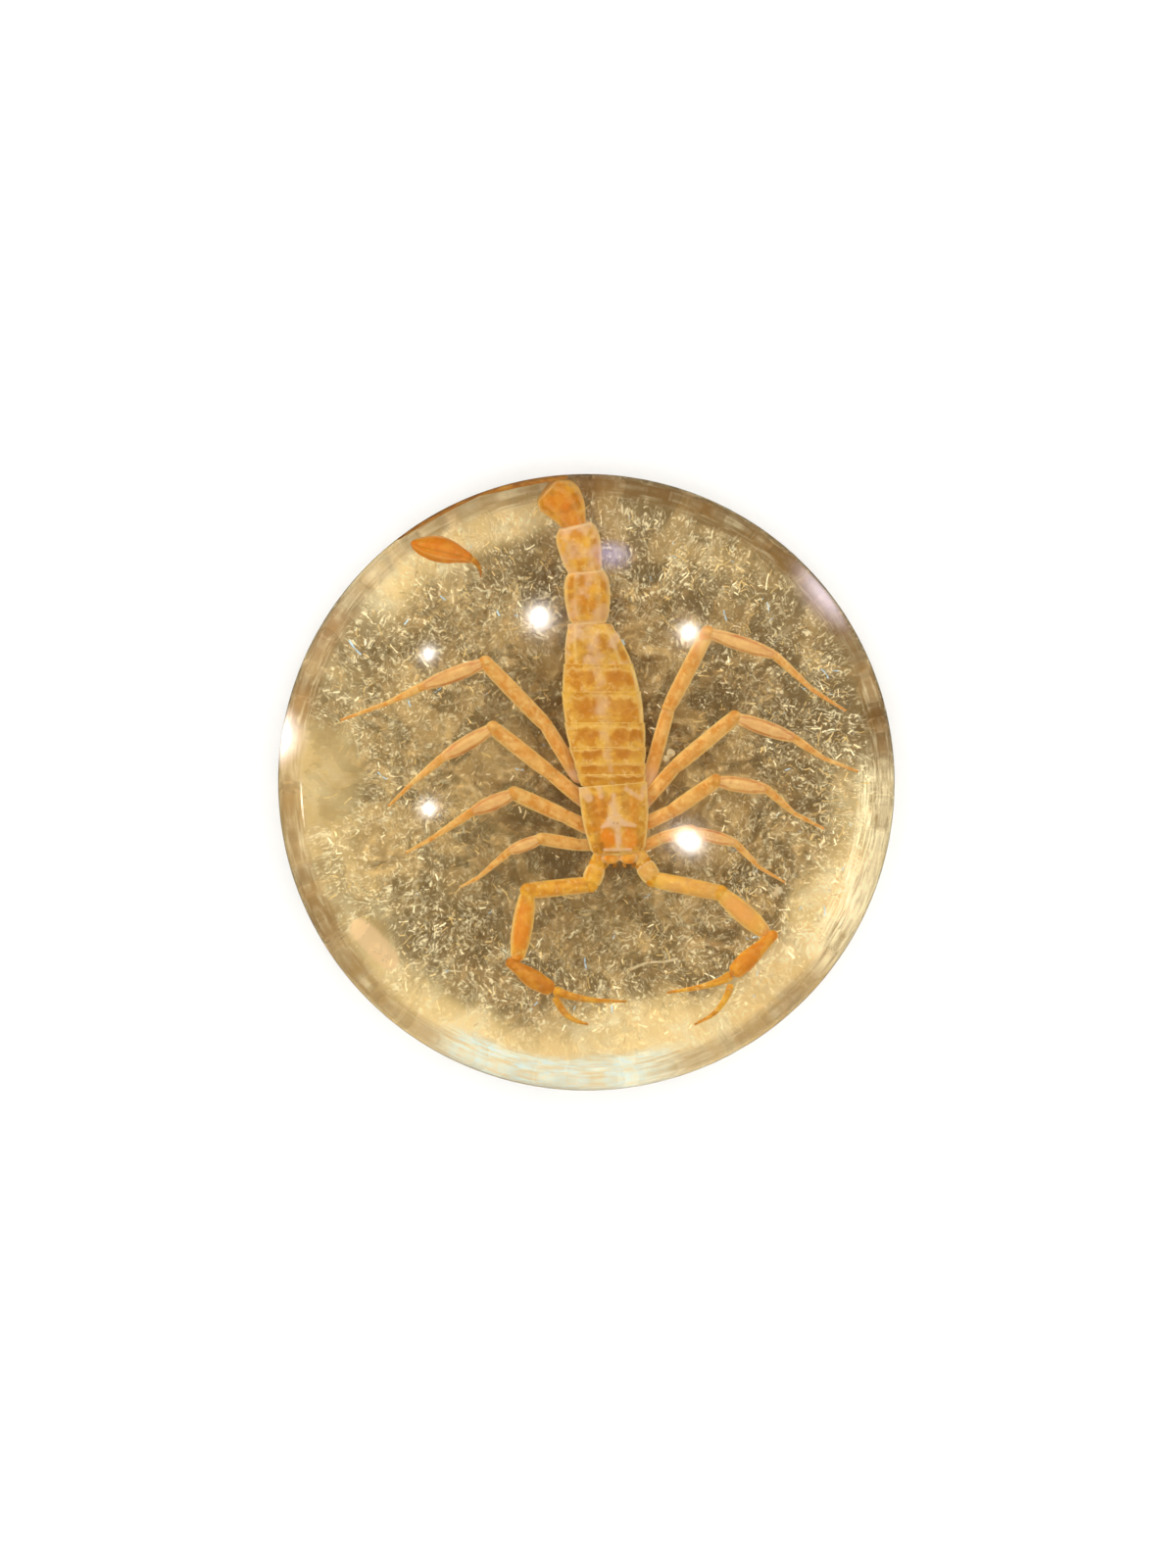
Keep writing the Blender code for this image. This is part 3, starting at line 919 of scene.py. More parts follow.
@dataclass
class Loft:
    """A closed form with round ends, swept through stations, with relief and painted marks."""

    stations: Sequence[Station]
    rings: int = 26
    sides: int = 20
    fullness: float = 2.0
    start_round: float = 0.5
    end_round: float = 0.5
    relief: Field = nothing
    paint: Mapping[Mark, Field] = field(default_factory=dict)
    facing: Point | None = None

    def patch(self) -> Patch:
        """Builds the form.

        Returns:
            The form, with its faces pointing outwards.
        """
        shares = 0.5 - 0.5 * np.cos(np.linspace(0.0, math.pi, self.rings))
        rows = np.array([(*s.middle, s.half_width, s.rise, s.sink) for s in self.stations])
        rows = smooth_rows(rows, shares)
        length = np.linalg.norm(np.diff(rows[:, :3], axis=0), axis=1).sum()
        closing = self.closing(shares * length, length)
        ahead = np.gradient(rows[:, :3], axis=0)
        if self.facing:
            ahead[:] = self.facing
        ahead /= np.linalg.norm(ahead, axis=1)[:, None]
        right = np.cross(ahead, (0.0, 0.0, 1.0))
        right /= np.linalg.norm(right, axis=1)[:, None]
        upward = np.cross(right, ahead)

        turn = np.linspace(0.0, 2 * math.pi, self.sides, endpoint=False)
        power = 2.0 / self.fullness
        across = np.sign(np.cos(turn)) * np.abs(np.cos(turn)) ** power
        height = np.sign(np.sin(turn)) * np.abs(np.sin(turn)) ** power
        reach = np.where(height[None, :] > 0, rows[:, 4:5], rows[:, 5:6])
        width = rows[:, 3:4] * closing[:, None]
        points = (
            rows[:, None, :3]
            + (across[None, :] * width)[:, :, None] * right[:, None, :]
            + (height[None, :] * reach * closing[:, None])[:, :, None] * upward[:, None, :]
        )
        outward = (
            np.cos(turn)[None, :, None] * right[:, None, :]
            + np.sin(turn)[None, :, None] * upward[:, None, :]
        )
        surface = Surface(
            across=np.broadcast_to(across, points.shape[:2]),
            height=np.broadcast_to(height, points.shape[:2]),
            along=np.broadcast_to(shares[:, None], points.shape[:2]),
            x=points[:, :, 0],
            y=points[:, :, 1],
        )
        points = points + outward * (self.relief(surface) * closing[:, None])[:, :, None]
        marks = {mark.value: self.paint.get(mark, nothing)(surface) for mark in Mark}
        marks[Mark.STREAK.value] = self.streaks(surface, length)
        return self.closed(points, marks)

    @staticmethod
    def streaks(surface: Surface, length: float) -> Array:
        """Gives darker streaks that run along the form, as dried tissue shows through horn.

        Args:
            surface: Where the points lie.
            length: Length of the whole form.

        Returns:
            Numbers from 0 to 1.
        """
        shift = 7.0 * length
        cloud = LatticeNoise(71, 1.0).at(surface.across * 2.6 + shift % 11.0, surface.along * length * 0.7)
        return 0.9 * soft_step(cloud, 0.45, 0.85) * (1.0 - soft_step(np.abs(surface.across), 0.55, 0.95))

    def closing(self, distance: Array, length: float) -> Array:
        """Rounds the two ends.

        Args:
            distance: How far along each ring lies.
            length: Length of the whole form.

        Returns:
            The share of its full size that each ring has.
        """
        start = np.clip(1.0 - distance / self.start_round, 0.0, 1.0)
        end = np.clip(1.0 - (length - distance) / self.end_round, 0.0, 1.0)
        return np.sqrt(1.0 - start**2) * np.sqrt(1.0 - end**2)

    def closed(self, points: Array, marks: Mapping[str, Array]) -> Patch:
        """Joins rings into faces, with a single point at each end.

        Args:
            points: Points by ring and side.
            marks: Painted values by ring and side.

        Returns:
            The closed form.
        """
        inner = self.rings - 2
        body = points[1:-1].reshape(-1, 3)
        tips = np.vstack([points[0].mean(axis=0), points[-1].mean(axis=0)])
        first, last = len(body), len(body) + 1
        faces: list[tuple[int, ...]] = []
        for side in range(self.sides):
            beside = (side + 1) % self.sides
            faces.append((first, beside, side))
            for ring in range(inner - 1):
                low, high = ring * self.sides, (ring + 1) * self.sides
                faces.append((low + side, low + beside, high + beside, high + side))
            final = (inner - 1) * self.sides
            faces.append((last, final + side, final + beside))
        paint = {
            name: np.concatenate([values[1:-1].ravel(), [values[0].mean(), values[-1].mean()]])
            for name, values in marks.items()
        }
        return Patch(np.vstack([body, tips]), faces, paint)


@dataclass(frozen=True)
class Stroke:
    """One brushed marking seen from above: a line of places with its width at both ends."""

    places: tuple[Plan, ...]
    start_width: float
    end_width: float
    strength: float = 1.0

    def mask(self, surface: Surface) -> Array:
        """Gives how strongly the stroke covers each point.

        Args:
            surface: Where the points lie.

        Returns:
            Numbers from 0 to the stroke's strength.
        """
        cover = np.zeros_like(surface.x)
        links = len(self.places) - 1
        for index in range(links):
            (x0, y0), (x1, y1) = self.places[index], self.places[index + 1]
            run_x, run_y = x1 - x0, y1 - y0
            share = ((surface.x - x0) * run_x + (surface.y - y0) * run_y) / (run_x**2 + run_y**2 + 1e-9)
            share = np.clip(share, 0.0, 1.0)
            away = np.hypot(surface.x - x0 - share * run_x, surface.y - y0 - share * run_y)
            whole = (index + share) / links
            width = self.start_width + (self.end_width - self.start_width) * whole
            cover = np.maximum(cover, 1.0 - soft_step(away / width, 0.55, 1.25))
        return cover * self.strength * (surface.height > 0)


def strokes(*items: Stroke) -> Field:
    """Gives a field that shows several strokes together."""
    return lambda surface: np.max([item.mask(surface) for item in items], axis=0)


def side_edges(start: float = 0.72, end: float = 1.0, strength: float = 0.8) -> Field:
    """Gives a field that is strong along the two side edges of a loft."""
    return lambda surface: strength * soft_step(np.abs(surface.across), start, end)


def ridge_lines(places: Sequence[float], width: float, strength: float = 1.0) -> Field:
    """Gives a field of lines that run along a loft's upper side, at places across it."""

    def mask(surface: Surface) -> Array:
        near = [1.0 - soft_step(np.abs(surface.across - place) / width, 0.3, 1.0) for place in places]
        return strength * np.max(near, axis=0) * (surface.height > 0)

    return mask


def end_bands(start: float, end: float, strength: float = 1.0) -> Field:
    """Gives a field that is strong within a share of the length from each end."""

    def mask(surface: Surface) -> Array:
        first = 1.0 - soft_step(surface.along, start * 0.4, start) if start else nothing(surface)
        last = soft_step(surface.along, 1.0 - end, 1.0 - end * 0.4) if end else nothing(surface)
        return strength * np.maximum(first, last)

    return mask


def band(low: float, high: float, strength: float = 1.0) -> Field:
    """Gives a field that is strong between two shares of the length, on the upper side's middle."""

    def mask(surface: Surface) -> Array:
        inside = soft_step(surface.along, low - 0.08, low + 0.06) * (
            1.0 - soft_step(surface.along, high - 0.06, high + 0.08)
        )
        return strength * inside * (1.0 - soft_step(np.abs(surface.across), 0.45, 0.85))

    return mask


def strongest(*fields: Field) -> Field:
    """Gives a field that takes the strongest of several."""
    return lambda surface: np.max([item(surface) for item in fields], axis=0)


def everywhere(value: float) -> Field:
    """Gives a field that is the same all over."""
    return lambda surface: np.full_like(surface.x, value)


def blotches(seed: int, size: float, strength: float) -> Field:
    """Gives a field of uneven patches about as large as asked for, on the upper side."""

    def mask(surface: Surface) -> Array:
        x, y = surface.x / size, surface.y / size
        coarse = LatticeNoise(seed, 1.0).at(0.8 * x - 0.6 * y, 0.6 * x + 0.8 * y)
        fine = LatticeNoise(seed + 1, 1.0).at(1.1 * x + 1.9 * y, 1.9 * x - 1.1 * y)
        return strength * soft_step(0.6 * coarse + 0.4 * fine, 0.42, 0.66) * (surface.height > 0)

    return mask


def scaled(source: Field, amount: float) -> Field:
    """Gives a field times a number, such as a relief height in millimetres."""
    return lambda surface: source(surface) * amount


def bead(middle: Point, radius: float, mark: Mark) -> Patch:
    """Makes a small round bead with one mark all over.

    Args:
        middle: Its middle.
        radius: Its radius.
        mark: The mark it carries.

    Returns:
        The bead's form.
    """
    x, y, z = middle
    ends = (Station((x - radius, y, z), radius, radius, radius), Station((x + radius, y, z), radius, radius, radius))
    return Loft(ends, 9, 10, start_round=radius, end_round=radius, paint={mark: everywhere(1.0)}).patch()


@dataclass
class Carapace:
    """The shield over the front of the body, with its eyes and pale anchor-shaped marking."""

    rear: Plan = (2.32, -0.12)
    front: Plan = (2.85, -6.50)
    axis_height: float = 9.5
    half_widths: tuple[float, float, float] = (3.0, 2.85, 2.25)
    rise: float = 1.35
    sink: float = 1.05

    def patches(self) -> list[Patch]:
        """Builds the shield and its eyes.

        Returns:
            The forms.
        """
        middle = ((self.rear[0] + self.front[0]) / 2, (self.rear[1] + self.front[1]) / 2)
        stations = [
            Station((x, y, self.axis_height), width, self.rise * lift, self.sink)
            for (x, y), width, lift in zip(
                (self.rear, middle, self.front), self.half_widths, (0.95, 1.0, 0.72), strict=True
            )
        ]
        anchor = self.anchor()
        marks = {
            Mark.MILKY: scaled(strongest(anchor, self.corners()), 0.85),
            # pale side edges: partly pale margins, partly a painted sheen where the outline catches the light
            Mark.PALE: strongest(side_edges(0.90, 1.0, 0.9), end_bands(0.04, 0.05, 0.7)),
            Mark.DARK: strokes(
                Stroke(((0.3, -1.7), (0.9, -3.6)), 0.70, 0.50, 0.60),
                Stroke(((1.6, -1.1), (1.5, -2.9)), 0.36, 0.45, 0.60),
                Stroke(((4.8, -2.1), (4.5, -3.6)), 0.55, 0.45, 0.20),
                Stroke(((3.4, -1.1), (3.6, -2.6)), 0.36, 0.40, 0.60),
                Stroke(((0.95, -4.4), (1.0, -5.6)), 0.30, 0.30, 0.45),
                Stroke(((4.75, -4.4), (4.7, -5.6)), 0.30, 0.30, 0.40),
                Stroke(((1.35, -5.5), (1.4, -5.9)), 0.26, 0.24, 1.0),
                Stroke(((2.38, -3.62), (2.50, -3.75)), 0.26, 0.26, 0.45),
                Stroke(((2.2, -6.25), (3.6, -6.3)), 0.30, 0.30, 0.35),
            ),
            Mark.WARM: strokes(
                Stroke(((1.85, -4.9), (1.90, -5.2)), 0.80, 0.80, 0.80),
                Stroke(((3.80, -4.9), (3.80, -5.2)), 0.80, 0.80, 0.80),
                Stroke(((1.2, -1.8), (1.2, -4.0)), 0.80, 0.70, 0.45),
                Stroke(((4.0, -1.8), (4.0, -4.0)), 0.80, 0.70, 0.25),
            ),
        }
        shield = Loft(
            stations,
            rings=110,
            sides=112,
            fullness=2.6,
            start_round=0.12,
            end_round=0.7,
            relief=lambda surface: 0.10 * anchor(surface) + 0.05 * side_edges(0.88, 0.98, 1.0)(surface),
            paint=marks,
        ).patch()
        top = self.axis_height + self.rise
        eyes = [
            bead((2.42, -3.62, top - 0.02), 0.11, Mark.DARK),
            bead((2.76, -3.62, top - 0.02), 0.11, Mark.DARK),
            bead((0.95, -6.0, top - 0.62), 0.09, Mark.DARK),
            bead((4.75, -6.0, top - 0.62), 0.09, Mark.DARK),
        ]
        return [shield, *eyes]

    @staticmethod
    def anchor() -> Field:
        """Gives the pale anchor-shaped marking: a stem, two wings and a bar across its foot."""
        return strokes(
            Stroke(((2.44, -1.10), (2.44, -2.0), (2.42, -3.5)), 0.16, 0.62, 0.85),
            Stroke(((2.40, -3.0), (1.95, -3.65), (1.40, -3.98)), 0.50, 0.16, 0.9),
            Stroke(((2.50, -3.0), (3.20, -3.60), (4.30, -3.84)), 0.50, 0.16, 0.9),
            Stroke(((2.60, -3.6), (2.84, -4.6), (2.84, -5.9)), 0.40, 0.20, 0.9),
            Stroke(((1.65, -6.0), (3.90, -5.98)), 0.16, 0.16, 0.9),
        )

    @staticmethod
    def corners() -> Field:
        """Gives the milky patches along the rear edge."""
        return strokes(
            Stroke(((-0.35, -0.6), (0.2, -1.4)), 0.50, 0.40, 0.8),
            Stroke(((1.15, -0.5), (1.3, -1.3)), 0.24, 0.22, 0.8),
            Stroke(((3.5, -0.6), (4.9, -1.5)), 0.22, 0.20, 0.7),
            Stroke(((5.2, -0.5), (5.0, -1.2)), 0.40, 0.25, 0.7),
        )


PLATE_OVERLAP = 0.40
STRIPE_WIDTHS = (0.06, 0.08, 0.12, 0.14, 0.24, 0.18, 0.30)


@dataclass(frozen=True)
class BackPlate:
    """One plate of the back: its length, and the middle and half width at its rear edge."""

    length: float
    middle_x: float
    half_width: float


@dataclass
class Abdomen:
    """The seven overlapping plates of the middle body."""

    start_y: float = -0.15
    start_x: float = 2.30
    start_half_width: float = 2.90
    axis_height: float = 9.5
    rise: float = 1.55
    sink: float = 1.15
    overlap: float = PLATE_OVERLAP
    plates: tuple[BackPlate, ...] = (
        BackPlate(0.95, 2.20, 3.05),
        BackPlate(1.00, 2.05, 3.20),
        BackPlate(1.45, 1.85, 3.42),
        BackPlate(2.15, 1.60, 3.55),
        BackPlate(2.75, 1.30, 3.48),
        BackPlate(2.45, 1.05, 3.02),
        BackPlate(3.50, 0.30, 1.85),
    )

    def patches(self) -> list[Patch]:
        """Builds the plates from the front to the tail.

        Returns:
            One form for each plate.
        """
        made = []
        y, x, width = self.start_y, self.start_x, self.start_half_width
        for index, plate in enumerate(self.plates):
            end_y = y + plate.length
            tapering = index == len(self.plates) - 1
            low = 0.86 if index == 0 else 1.0
            stations = [
                self.station(x, y - self.overlap, width * 0.94, 0.90 * low),
                self.station(x, y, width * 0.975, 0.965 * low),
                self.station(
                    (x + plate.middle_x) / 2,
                    (y + end_y) / 2,
                    (width + plate.half_width) / 2 * (1.04 if tapering else 1.0),
                    0.98,
                ),
                self.station(plate.middle_x, end_y, plate.half_width, 0.72 if tapering else 1.0),
            ]
            last = Loft(
                stations,
                rings=44,
                sides=96,
                fullness=2.5,
                start_round=0.3,
                end_round=0.16,
                relief=self.relief(tapering),
                paint=self.marks(index, plate, tapering),
                facing=(0.0, 1.0, 0.0),
            )
            made.append(last.patch())
            y, x, width = end_y, plate.middle_x, plate.half_width
        return made

    def station(self, x: float, y: float, half_width: float, lift: float) -> Station:
        """Gives a cross-section of the body at a place."""
        return Station((x, y, self.axis_height), half_width, self.rise * lift, self.sink * lift)

    @staticmethod
    def relief(tapering: bool) -> Field:
        """Gives the raised rear rim of a plate and its keels.

        Args:
            tapering: Whether it is the last plate, which has four strong keels.

        Returns:
            The relief in millimetres.
        """
        keels = ridge_lines((-0.62, -0.26, 0.26, 0.62), 0.05) if tapering else ridge_lines((0.0,), 0.05)
        rim = end_bands(0.0, 0.14)
        return lambda surface: 0.05 * rim(surface) + (0.10 if tapering else 0.03) * keels(surface)

    @staticmethod
    def marks(index: int, plate: BackPlate, tapering: bool) -> dict[Mark, Field]:
        """Gives a plate's markings.

        Args:
            index: Its number from the front.
            plate: Its sizes.
            tapering: Whether it is the last plate.

        Returns:
            The painted fields.
        """
        shown = plate.length / (plate.length + PLATE_OVERLAP)
        rim_share = min(0.30, 0.24 / plate.length)

        def bowed(surface: Surface) -> Array:
            waver = LatticeNoise(83, 1.0).at(surface.x * 2.4, surface.y * 2.4) - 0.5
            return surface.along - 0.09 * (1.0 - surface.across**2) + 0.16 * waver

        def windows(surface: Surface) -> Array:
            side = np.abs(surface.across - 0.03)
            inside = soft_step(side, 0.10, 0.26) * (1.0 - soft_step(side, 0.70, 0.94))
            start, line = 1.0 - shown, bowed(surface)
            span = soft_step(line, start - 0.06, start + 0.40 * shown)
            span = span * (1.0 - soft_step(line, start + 0.52 * shown, start + 0.66 * shown))
            return inside * span * (surface.height > 0)

        def stripe(surface: Surface) -> Array:
            wide = STRIPE_WIDTHS[index]
            wavy = 0.05 * np.sin(surface.y * 3.3)
            near = 1.0 - soft_step(np.abs(surface.across + 0.02 + wavy), wide * 0.2, wide)
            swelling = 0.35 + 0.65 * soft_step(surface.along, 0.2, 0.45) * (1.0 - soft_step(surface.along, 0.6, 0.9))
            return 0.55 * near * swelling * (surface.height > 0)

        def inner_rim(surface: Surface) -> Array:
            return 0.40 * (1.0 - soft_step(np.abs(bowed(surface) - 0.74), 0.01, 0.07)) * (surface.height > 0)

        # painted highlight: the right side edge of the fifth and sixth plates is painted paler still
        def right_edge_sheen(surface: Surface) -> Array:
            return 0.9 * soft_step(surface.across, 0.86, 0.96)

        # pale side edges: partly pale margins, partly a painted sheen where the outline catches the light
        pale = [end_bands(0.0, rim_share * 0.7, 0.7), side_edges(0.91, 1.0, 0.8), inner_rim]
        if index in (4, 5):
            pale.append(right_edge_sheen)
        if not tapering:
            shades = {Mark.DARK: scaled(windows, 0.62), Mark.WARM: scaled(windows, 0.45), Mark.MILKY: stripe}
            return {Mark.PALE: strongest(*pale), **shades}
        pale.append(ridge_lines((-0.66, 0.66), 0.09, 0.5))
        seam = Stroke(((-1.0, 10.9), (0.2, 11.5), (1.2, 11.15), (2.2, 11.6), (3.1, 12.3)), 0.20, 0.20, 0.6)
        return {
            Mark.PALE: strongest(*pale),
            Mark.DARK: strongest(scaled(windows, 0.3), seam.mask, blotches(111, 0.7, 0.35)),
            Mark.MILKY: strongest(stripe, blotches(115, 0.8, 0.55)),
        }


@dataclass
class TailSegment:
    """One ring of the tail, with ridges along its back."""

    path: tuple[Point, Point]
    width: float
    depth: float
    warm: float = 0.0
    pale: float = 0.7
    base_share: float = 0.90
    dark: float = 0.25
    neck: float = 0.52
    spot: float = 0.0
    milky: float = 0.0
    bend: Plan = (0.0, 0.0)

    def patches(self) -> list[Patch]:
        """Builds the segment.

        Returns:
            Its form.
        """
        first, last = (np.array(place) for place in self.path)
        ahead = (last - first) / np.linalg.norm(last - first)
        first, last = first - ahead * self.neck, last + ahead * self.neck
        base = self.base_share
        shape = (
            (0.0, base * 0.82),
            (0.08, base * 0.86),
            (0.18, base * 1.00),
            (0.45, (base + 1.12) / 2),
            (0.72, 1.03),
            (0.86, 0.95),
            (0.94, 0.82),
            (1.0, 0.76),
        )
        bend = np.array((*self.bend, 0.0))
        stations = [
            Station(
                tuple(first + (last - first) * share + bend * share**3),
                self.width * size,
                self.depth * size,
                self.depth * size,
            )
            for share, size in shape
        ]
        ridges = ridge_lines((-0.50, 0.50), 0.13)
        marks = {
            Mark.PALE: strongest(
                scaled(ridges, self.pale * 0.35),
                side_edges(0.80, 0.98, self.pale),
                end_bands(0.10, 0.08, self.pale),
            ),
            Mark.WARM: strongest(band(0.15, 0.85, self.warm), everywhere(self.warm * 0.3), self.middle_spot),
            Mark.DARK: strongest(blotches(93, 0.55, self.dark), everywhere(self.dark * 0.4)),
            Mark.MILKY: strongest(blotches(97, 0.75, self.milky), end_bands(0.16, 0.10, self.milky)),
            Mark.HAIR: everywhere(0.6),
        }
        loft = Loft(
            stations,
            rings=44,
            sides=48,
            fullness=2.3,
            start_round=0.22,
            end_round=0.22,
            relief=scaled(strongest(ridges, side_edges(0.86, 0.98, 0.6)), 0.10),
            paint=marks,
        )
        return [loft.patch()]

    def middle_spot(self, surface: Surface) -> Array:
        """Gives an oval spot on the middle of the back, as strong as asked for."""
        away = np.hypot((surface.along - 0.60) / 0.30, (surface.across - 0.15) / 0.55)
        return self.spot * (1.0 - soft_step(away, 0.45, 1.0)) * (surface.height > 0)


@dataclass
class Stinger:
    """The bulb at the end of the tail and its curved dark spine."""

    bulb: tuple[tuple[Point, float], ...] = (
        ((-15.75, 21.55, 8.9), 0.30),
        ((-14.70, 21.15, 8.9), 0.86),
        ((-13.50, 20.85, 8.9), 1.18),
        ((-12.20, 20.48, 8.9), 1.08),
        ((-11.10, 20.12, 8.8), 0.70),
        ((-10.05, 19.70, 8.8), 0.34),
    )
    spine: tuple[tuple[Point, float], ...] = (
        ((-10.55, 19.92, 8.8), 0.36),
        ((-9.85, 19.52, 8.75), 0.27),
        ((-9.45, 18.95, 8.6), 0.18),
        ((-9.32, 18.35, 8.5), 0.09),
        ((-9.35, 18.02, 8.4), 0.04),
    )

    def patches(self) -> list[Patch]:
        """Builds the bulb and the spine.

        Returns:
            Their forms.
        """
        bulb = Loft(
            [Station(place, size, size * 0.95, size * 0.95) for place, size in self.bulb],
            rings=46,
            sides=40,
            start_round=0.4,
            end_round=0.3,
            relief=scaled(ridge_lines((-0.4, 0.4), 0.12), 0.06),
            paint={
                # pale side edges: partly pale margins, partly a painted sheen where the outline catches the light
                Mark.PALE: strongest(side_edges(0.90, 1.0, 0.45), ridge_lines((0.45,), 0.10, 0.35)),
                Mark.WARM: everywhere(1.0),
                Mark.DARK: strongest(ridge_lines((0.0,), 0.14, 0.6), end_bands(0.0, 0.12, 0.6), everywhere(0.2)),
                Mark.HAIR: everywhere(0.5),
            },
        )
        spine = Loft(
            [Station(place, size, size, size) for place, size in self.spine],
            rings=30,
            sides=16,
            start_round=0.2,
            end_round=0.06,
            paint={Mark.DARK: lambda surface: soft_step(surface.along, 0.05, 0.5)},
        )
        return [bulb.patch(), spine.patch()]


@dataclass(frozen=True)
class LinkLook:
    """How one link of a limb swells along its length, and how strongly it is marked."""

    swelling: tuple[tuple[float, float], ...]
    warm: float
    pale: float
    overlap: float = 0.25
    milky: float = 0.0
    lined: float = 0.0


SPINDLE = ((0.0, 0.55), (0.12, 0.78), (0.38, 1.0), (0.68, 0.97), (0.90, 0.72), (1.0, 0.55))
ROD = ((0.0, 0.80), (0.15, 0.95), (0.50, 1.0), (0.85, 0.96), (1.0, 0.84))
TAPER = ((0.0, 1.0), (0.30, 0.96), (0.65, 0.72), (1.0, 0.48))


@dataclass
class Limb:
    """A jointed limb: links between joints, each a swollen tube that overlaps the next."""

    joints: tuple[Point, ...]
    half_widths: tuple[float, ...]
    looks: tuple[LinkLook, ...]
    flatness: float = 0.92
    dark: float = 0.0
    pallor: float = 0.0

    def patches(self) -> list[Patch]:
        """Builds the links.

        Returns:
            One form for each link.
        """
        made = []
        for index, look in enumerate(self.looks):
            first, last = (np.array(place) for place in self.joints[index : index + 2])
            ahead = (last - first) / np.linalg.norm(last - first)
            first = first - ahead * look.overlap
            last = last + ahead * look.overlap
            size = self.half_widths[index]
            stations = [
                Station(tuple(first + (last - first) * share), size * swell, size * swell * self.flatness,
                        size * swell * self.flatness)
                for share, swell in look.swelling
            ]
            loft = Loft(
                stations,
                rings=34,
                sides=24,
                start_round=size * 0.8,
                end_round=size * 0.7,
                relief=scaled(ridge_lines((-0.5, 0.5), 0.2), size * 0.05),
                paint={
                    # pale side edges: partly pale margins, partly a painted sheen where the outline catches the light
                    Mark.PALE: strongest(
                        side_edges(0.62, 0.96, look.pale),
                        ridge_lines((0.35,), 0.12, look.pale * 0.5),
                        everywhere(max(self.pallor, look.lined * 0.45)),
                    ),
                    Mark.WARM: strongest(band(0.22, 0.80, look.warm * 0.6), end_bands(0.10, 0.10, 0.75)),
                    Mark.RUST: self.rust_lines(look.lined),
                    Mark.DARK: strongest(end_bands(0.05, 0.05, 0.45), everywhere(self.dark)),
                    Mark.MILKY: strongest(
                        end_bands(0.35, 0.0, look.milky),
                        end_bands(0.0, 0.10, look.milky * 0.6),
                        everywhere(look.lined * 0.2),
                    ),
                    Mark.HAIR: everywhere(0.8),
                },
            )
            made.append(loft.patch())
            if index:
                swell = min(self.half_widths[index - 1], size) * 0.96
                made.append(bead(self.joints[index], swell, Mark.HAIR))
        return made

    @staticmethod
    def rust_lines(strength: float) -> Field:
        """Gives rust-coloured lines that run along a link and meet towards its two ends."""

        def mask(surface: Surface) -> Array:
            swell = np.sin(np.clip(surface.along, 0.0, 1.0) * math.pi) ** 0.5
            lines = [
                amount * (1.0 - soft_step(np.abs(surface.across - place * swell) / 0.20, 0.3, 1.0))
                for place, amount in RUST_LINES
            ]
            return strength * np.max(lines, axis=0) * (surface.height > 0)

        return mask


RUST_LINES = ((-0.80, 1.0), (-0.10, 0.30), (0.74, 0.9))
LEG_LOOKS = (
    LinkLook(ROD, warm=0.10, pale=0.7, milky=0.8),
    LinkLook(ROD, warm=0.05, pale=0.6),
    LinkLook(SPINDLE, warm=0.10, pale=0.3, milky=0.2, lined=0.75),
    LinkLook(TAPER, warm=0.05, pale=0.5),
    LinkLook(TAPER, warm=0.0, pale=0.4, overlap=0.12),
)
LEG_HALF_WIDTHS = (0.64, 0.70, 0.68, 0.40, 0.21)
FRONT_LEG_SHARE = 0.84
LEG_JOINTS: dict[tuple[Side, int], tuple[Point, ...]] = {
    (Side.LEFT, 1): ((0.60, -5.50, 7.5), (-0.70, -5.50, 8.0), (-4.00, -5.00, 9.6), (-6.75, -6.05, 9.2),
                     (-9.50, -8.40, 8.3), (-11.05, -9.20, 7.5)),
    (Side.LEFT, 2): ((0.60, -4.20, 7.5), (-1.85, -3.00, 8.1), (-6.35, -1.00, 9.7), (-10.05, -2.60, 9.3),
                     (-13.65, -5.00, 8.3), (-15.75, -6.15, 7.5)),
    (Side.LEFT, 3): ((0.20, -2.00, 7.5), (-3.05, 0.70, 8.2), (-8.25, 4.80, 9.8), (-12.65, 2.20, 9.3),
                     (-15.40, -0.15, 8.3), (-17.30, -2.05, 7.5)),
    (Side.LEFT, 4): ((-0.60, 0.20, 7.3), (-3.55, 5.00, 8.3), (-8.95, 10.60, 9.9), (-14.45, 8.50, 9.4),
                     (-17.60, 6.95, 8.4), (-21.50, 5.45, 7.3)),
    (Side.RIGHT, 1): ((4.40, -5.90, 7.5), (6.60, -4.90, 8.0), (9.25, -4.30, 9.6), (13.15, -5.35, 9.2),
                      (15.25, -7.50, 8.3), (17.35, -8.75, 7.5)),
    (Side.RIGHT, 2): ((4.40, -4.00, 7.5), (7.50, -2.55, 8.1), (11.45, 0.10, 9.7), (15.95, -0.60, 9.3),
                      (18.30, -2.75, 8.3), (20.80, -4.05, 7.5)),
    (Side.RIGHT, 3): ((4.70, -2.20, 7.5), (7.75, 1.30, 8.2), (13.15, 5.75, 9.8), (18.40, 3.90, 9.3),
                      (20.95, 2.10, 8.3), (23.80, 0.95, 7.5)),
    (Side.RIGHT, 4): ((5.30, -0.40, 7.3), (7.25, 6.55, 8.3), (10.75, 13.30, 9.9), (16.70, 11.30, 9.4),
                      (20.05, 8.10, 8.4), (22.70, 6.30, 7.3)),
}

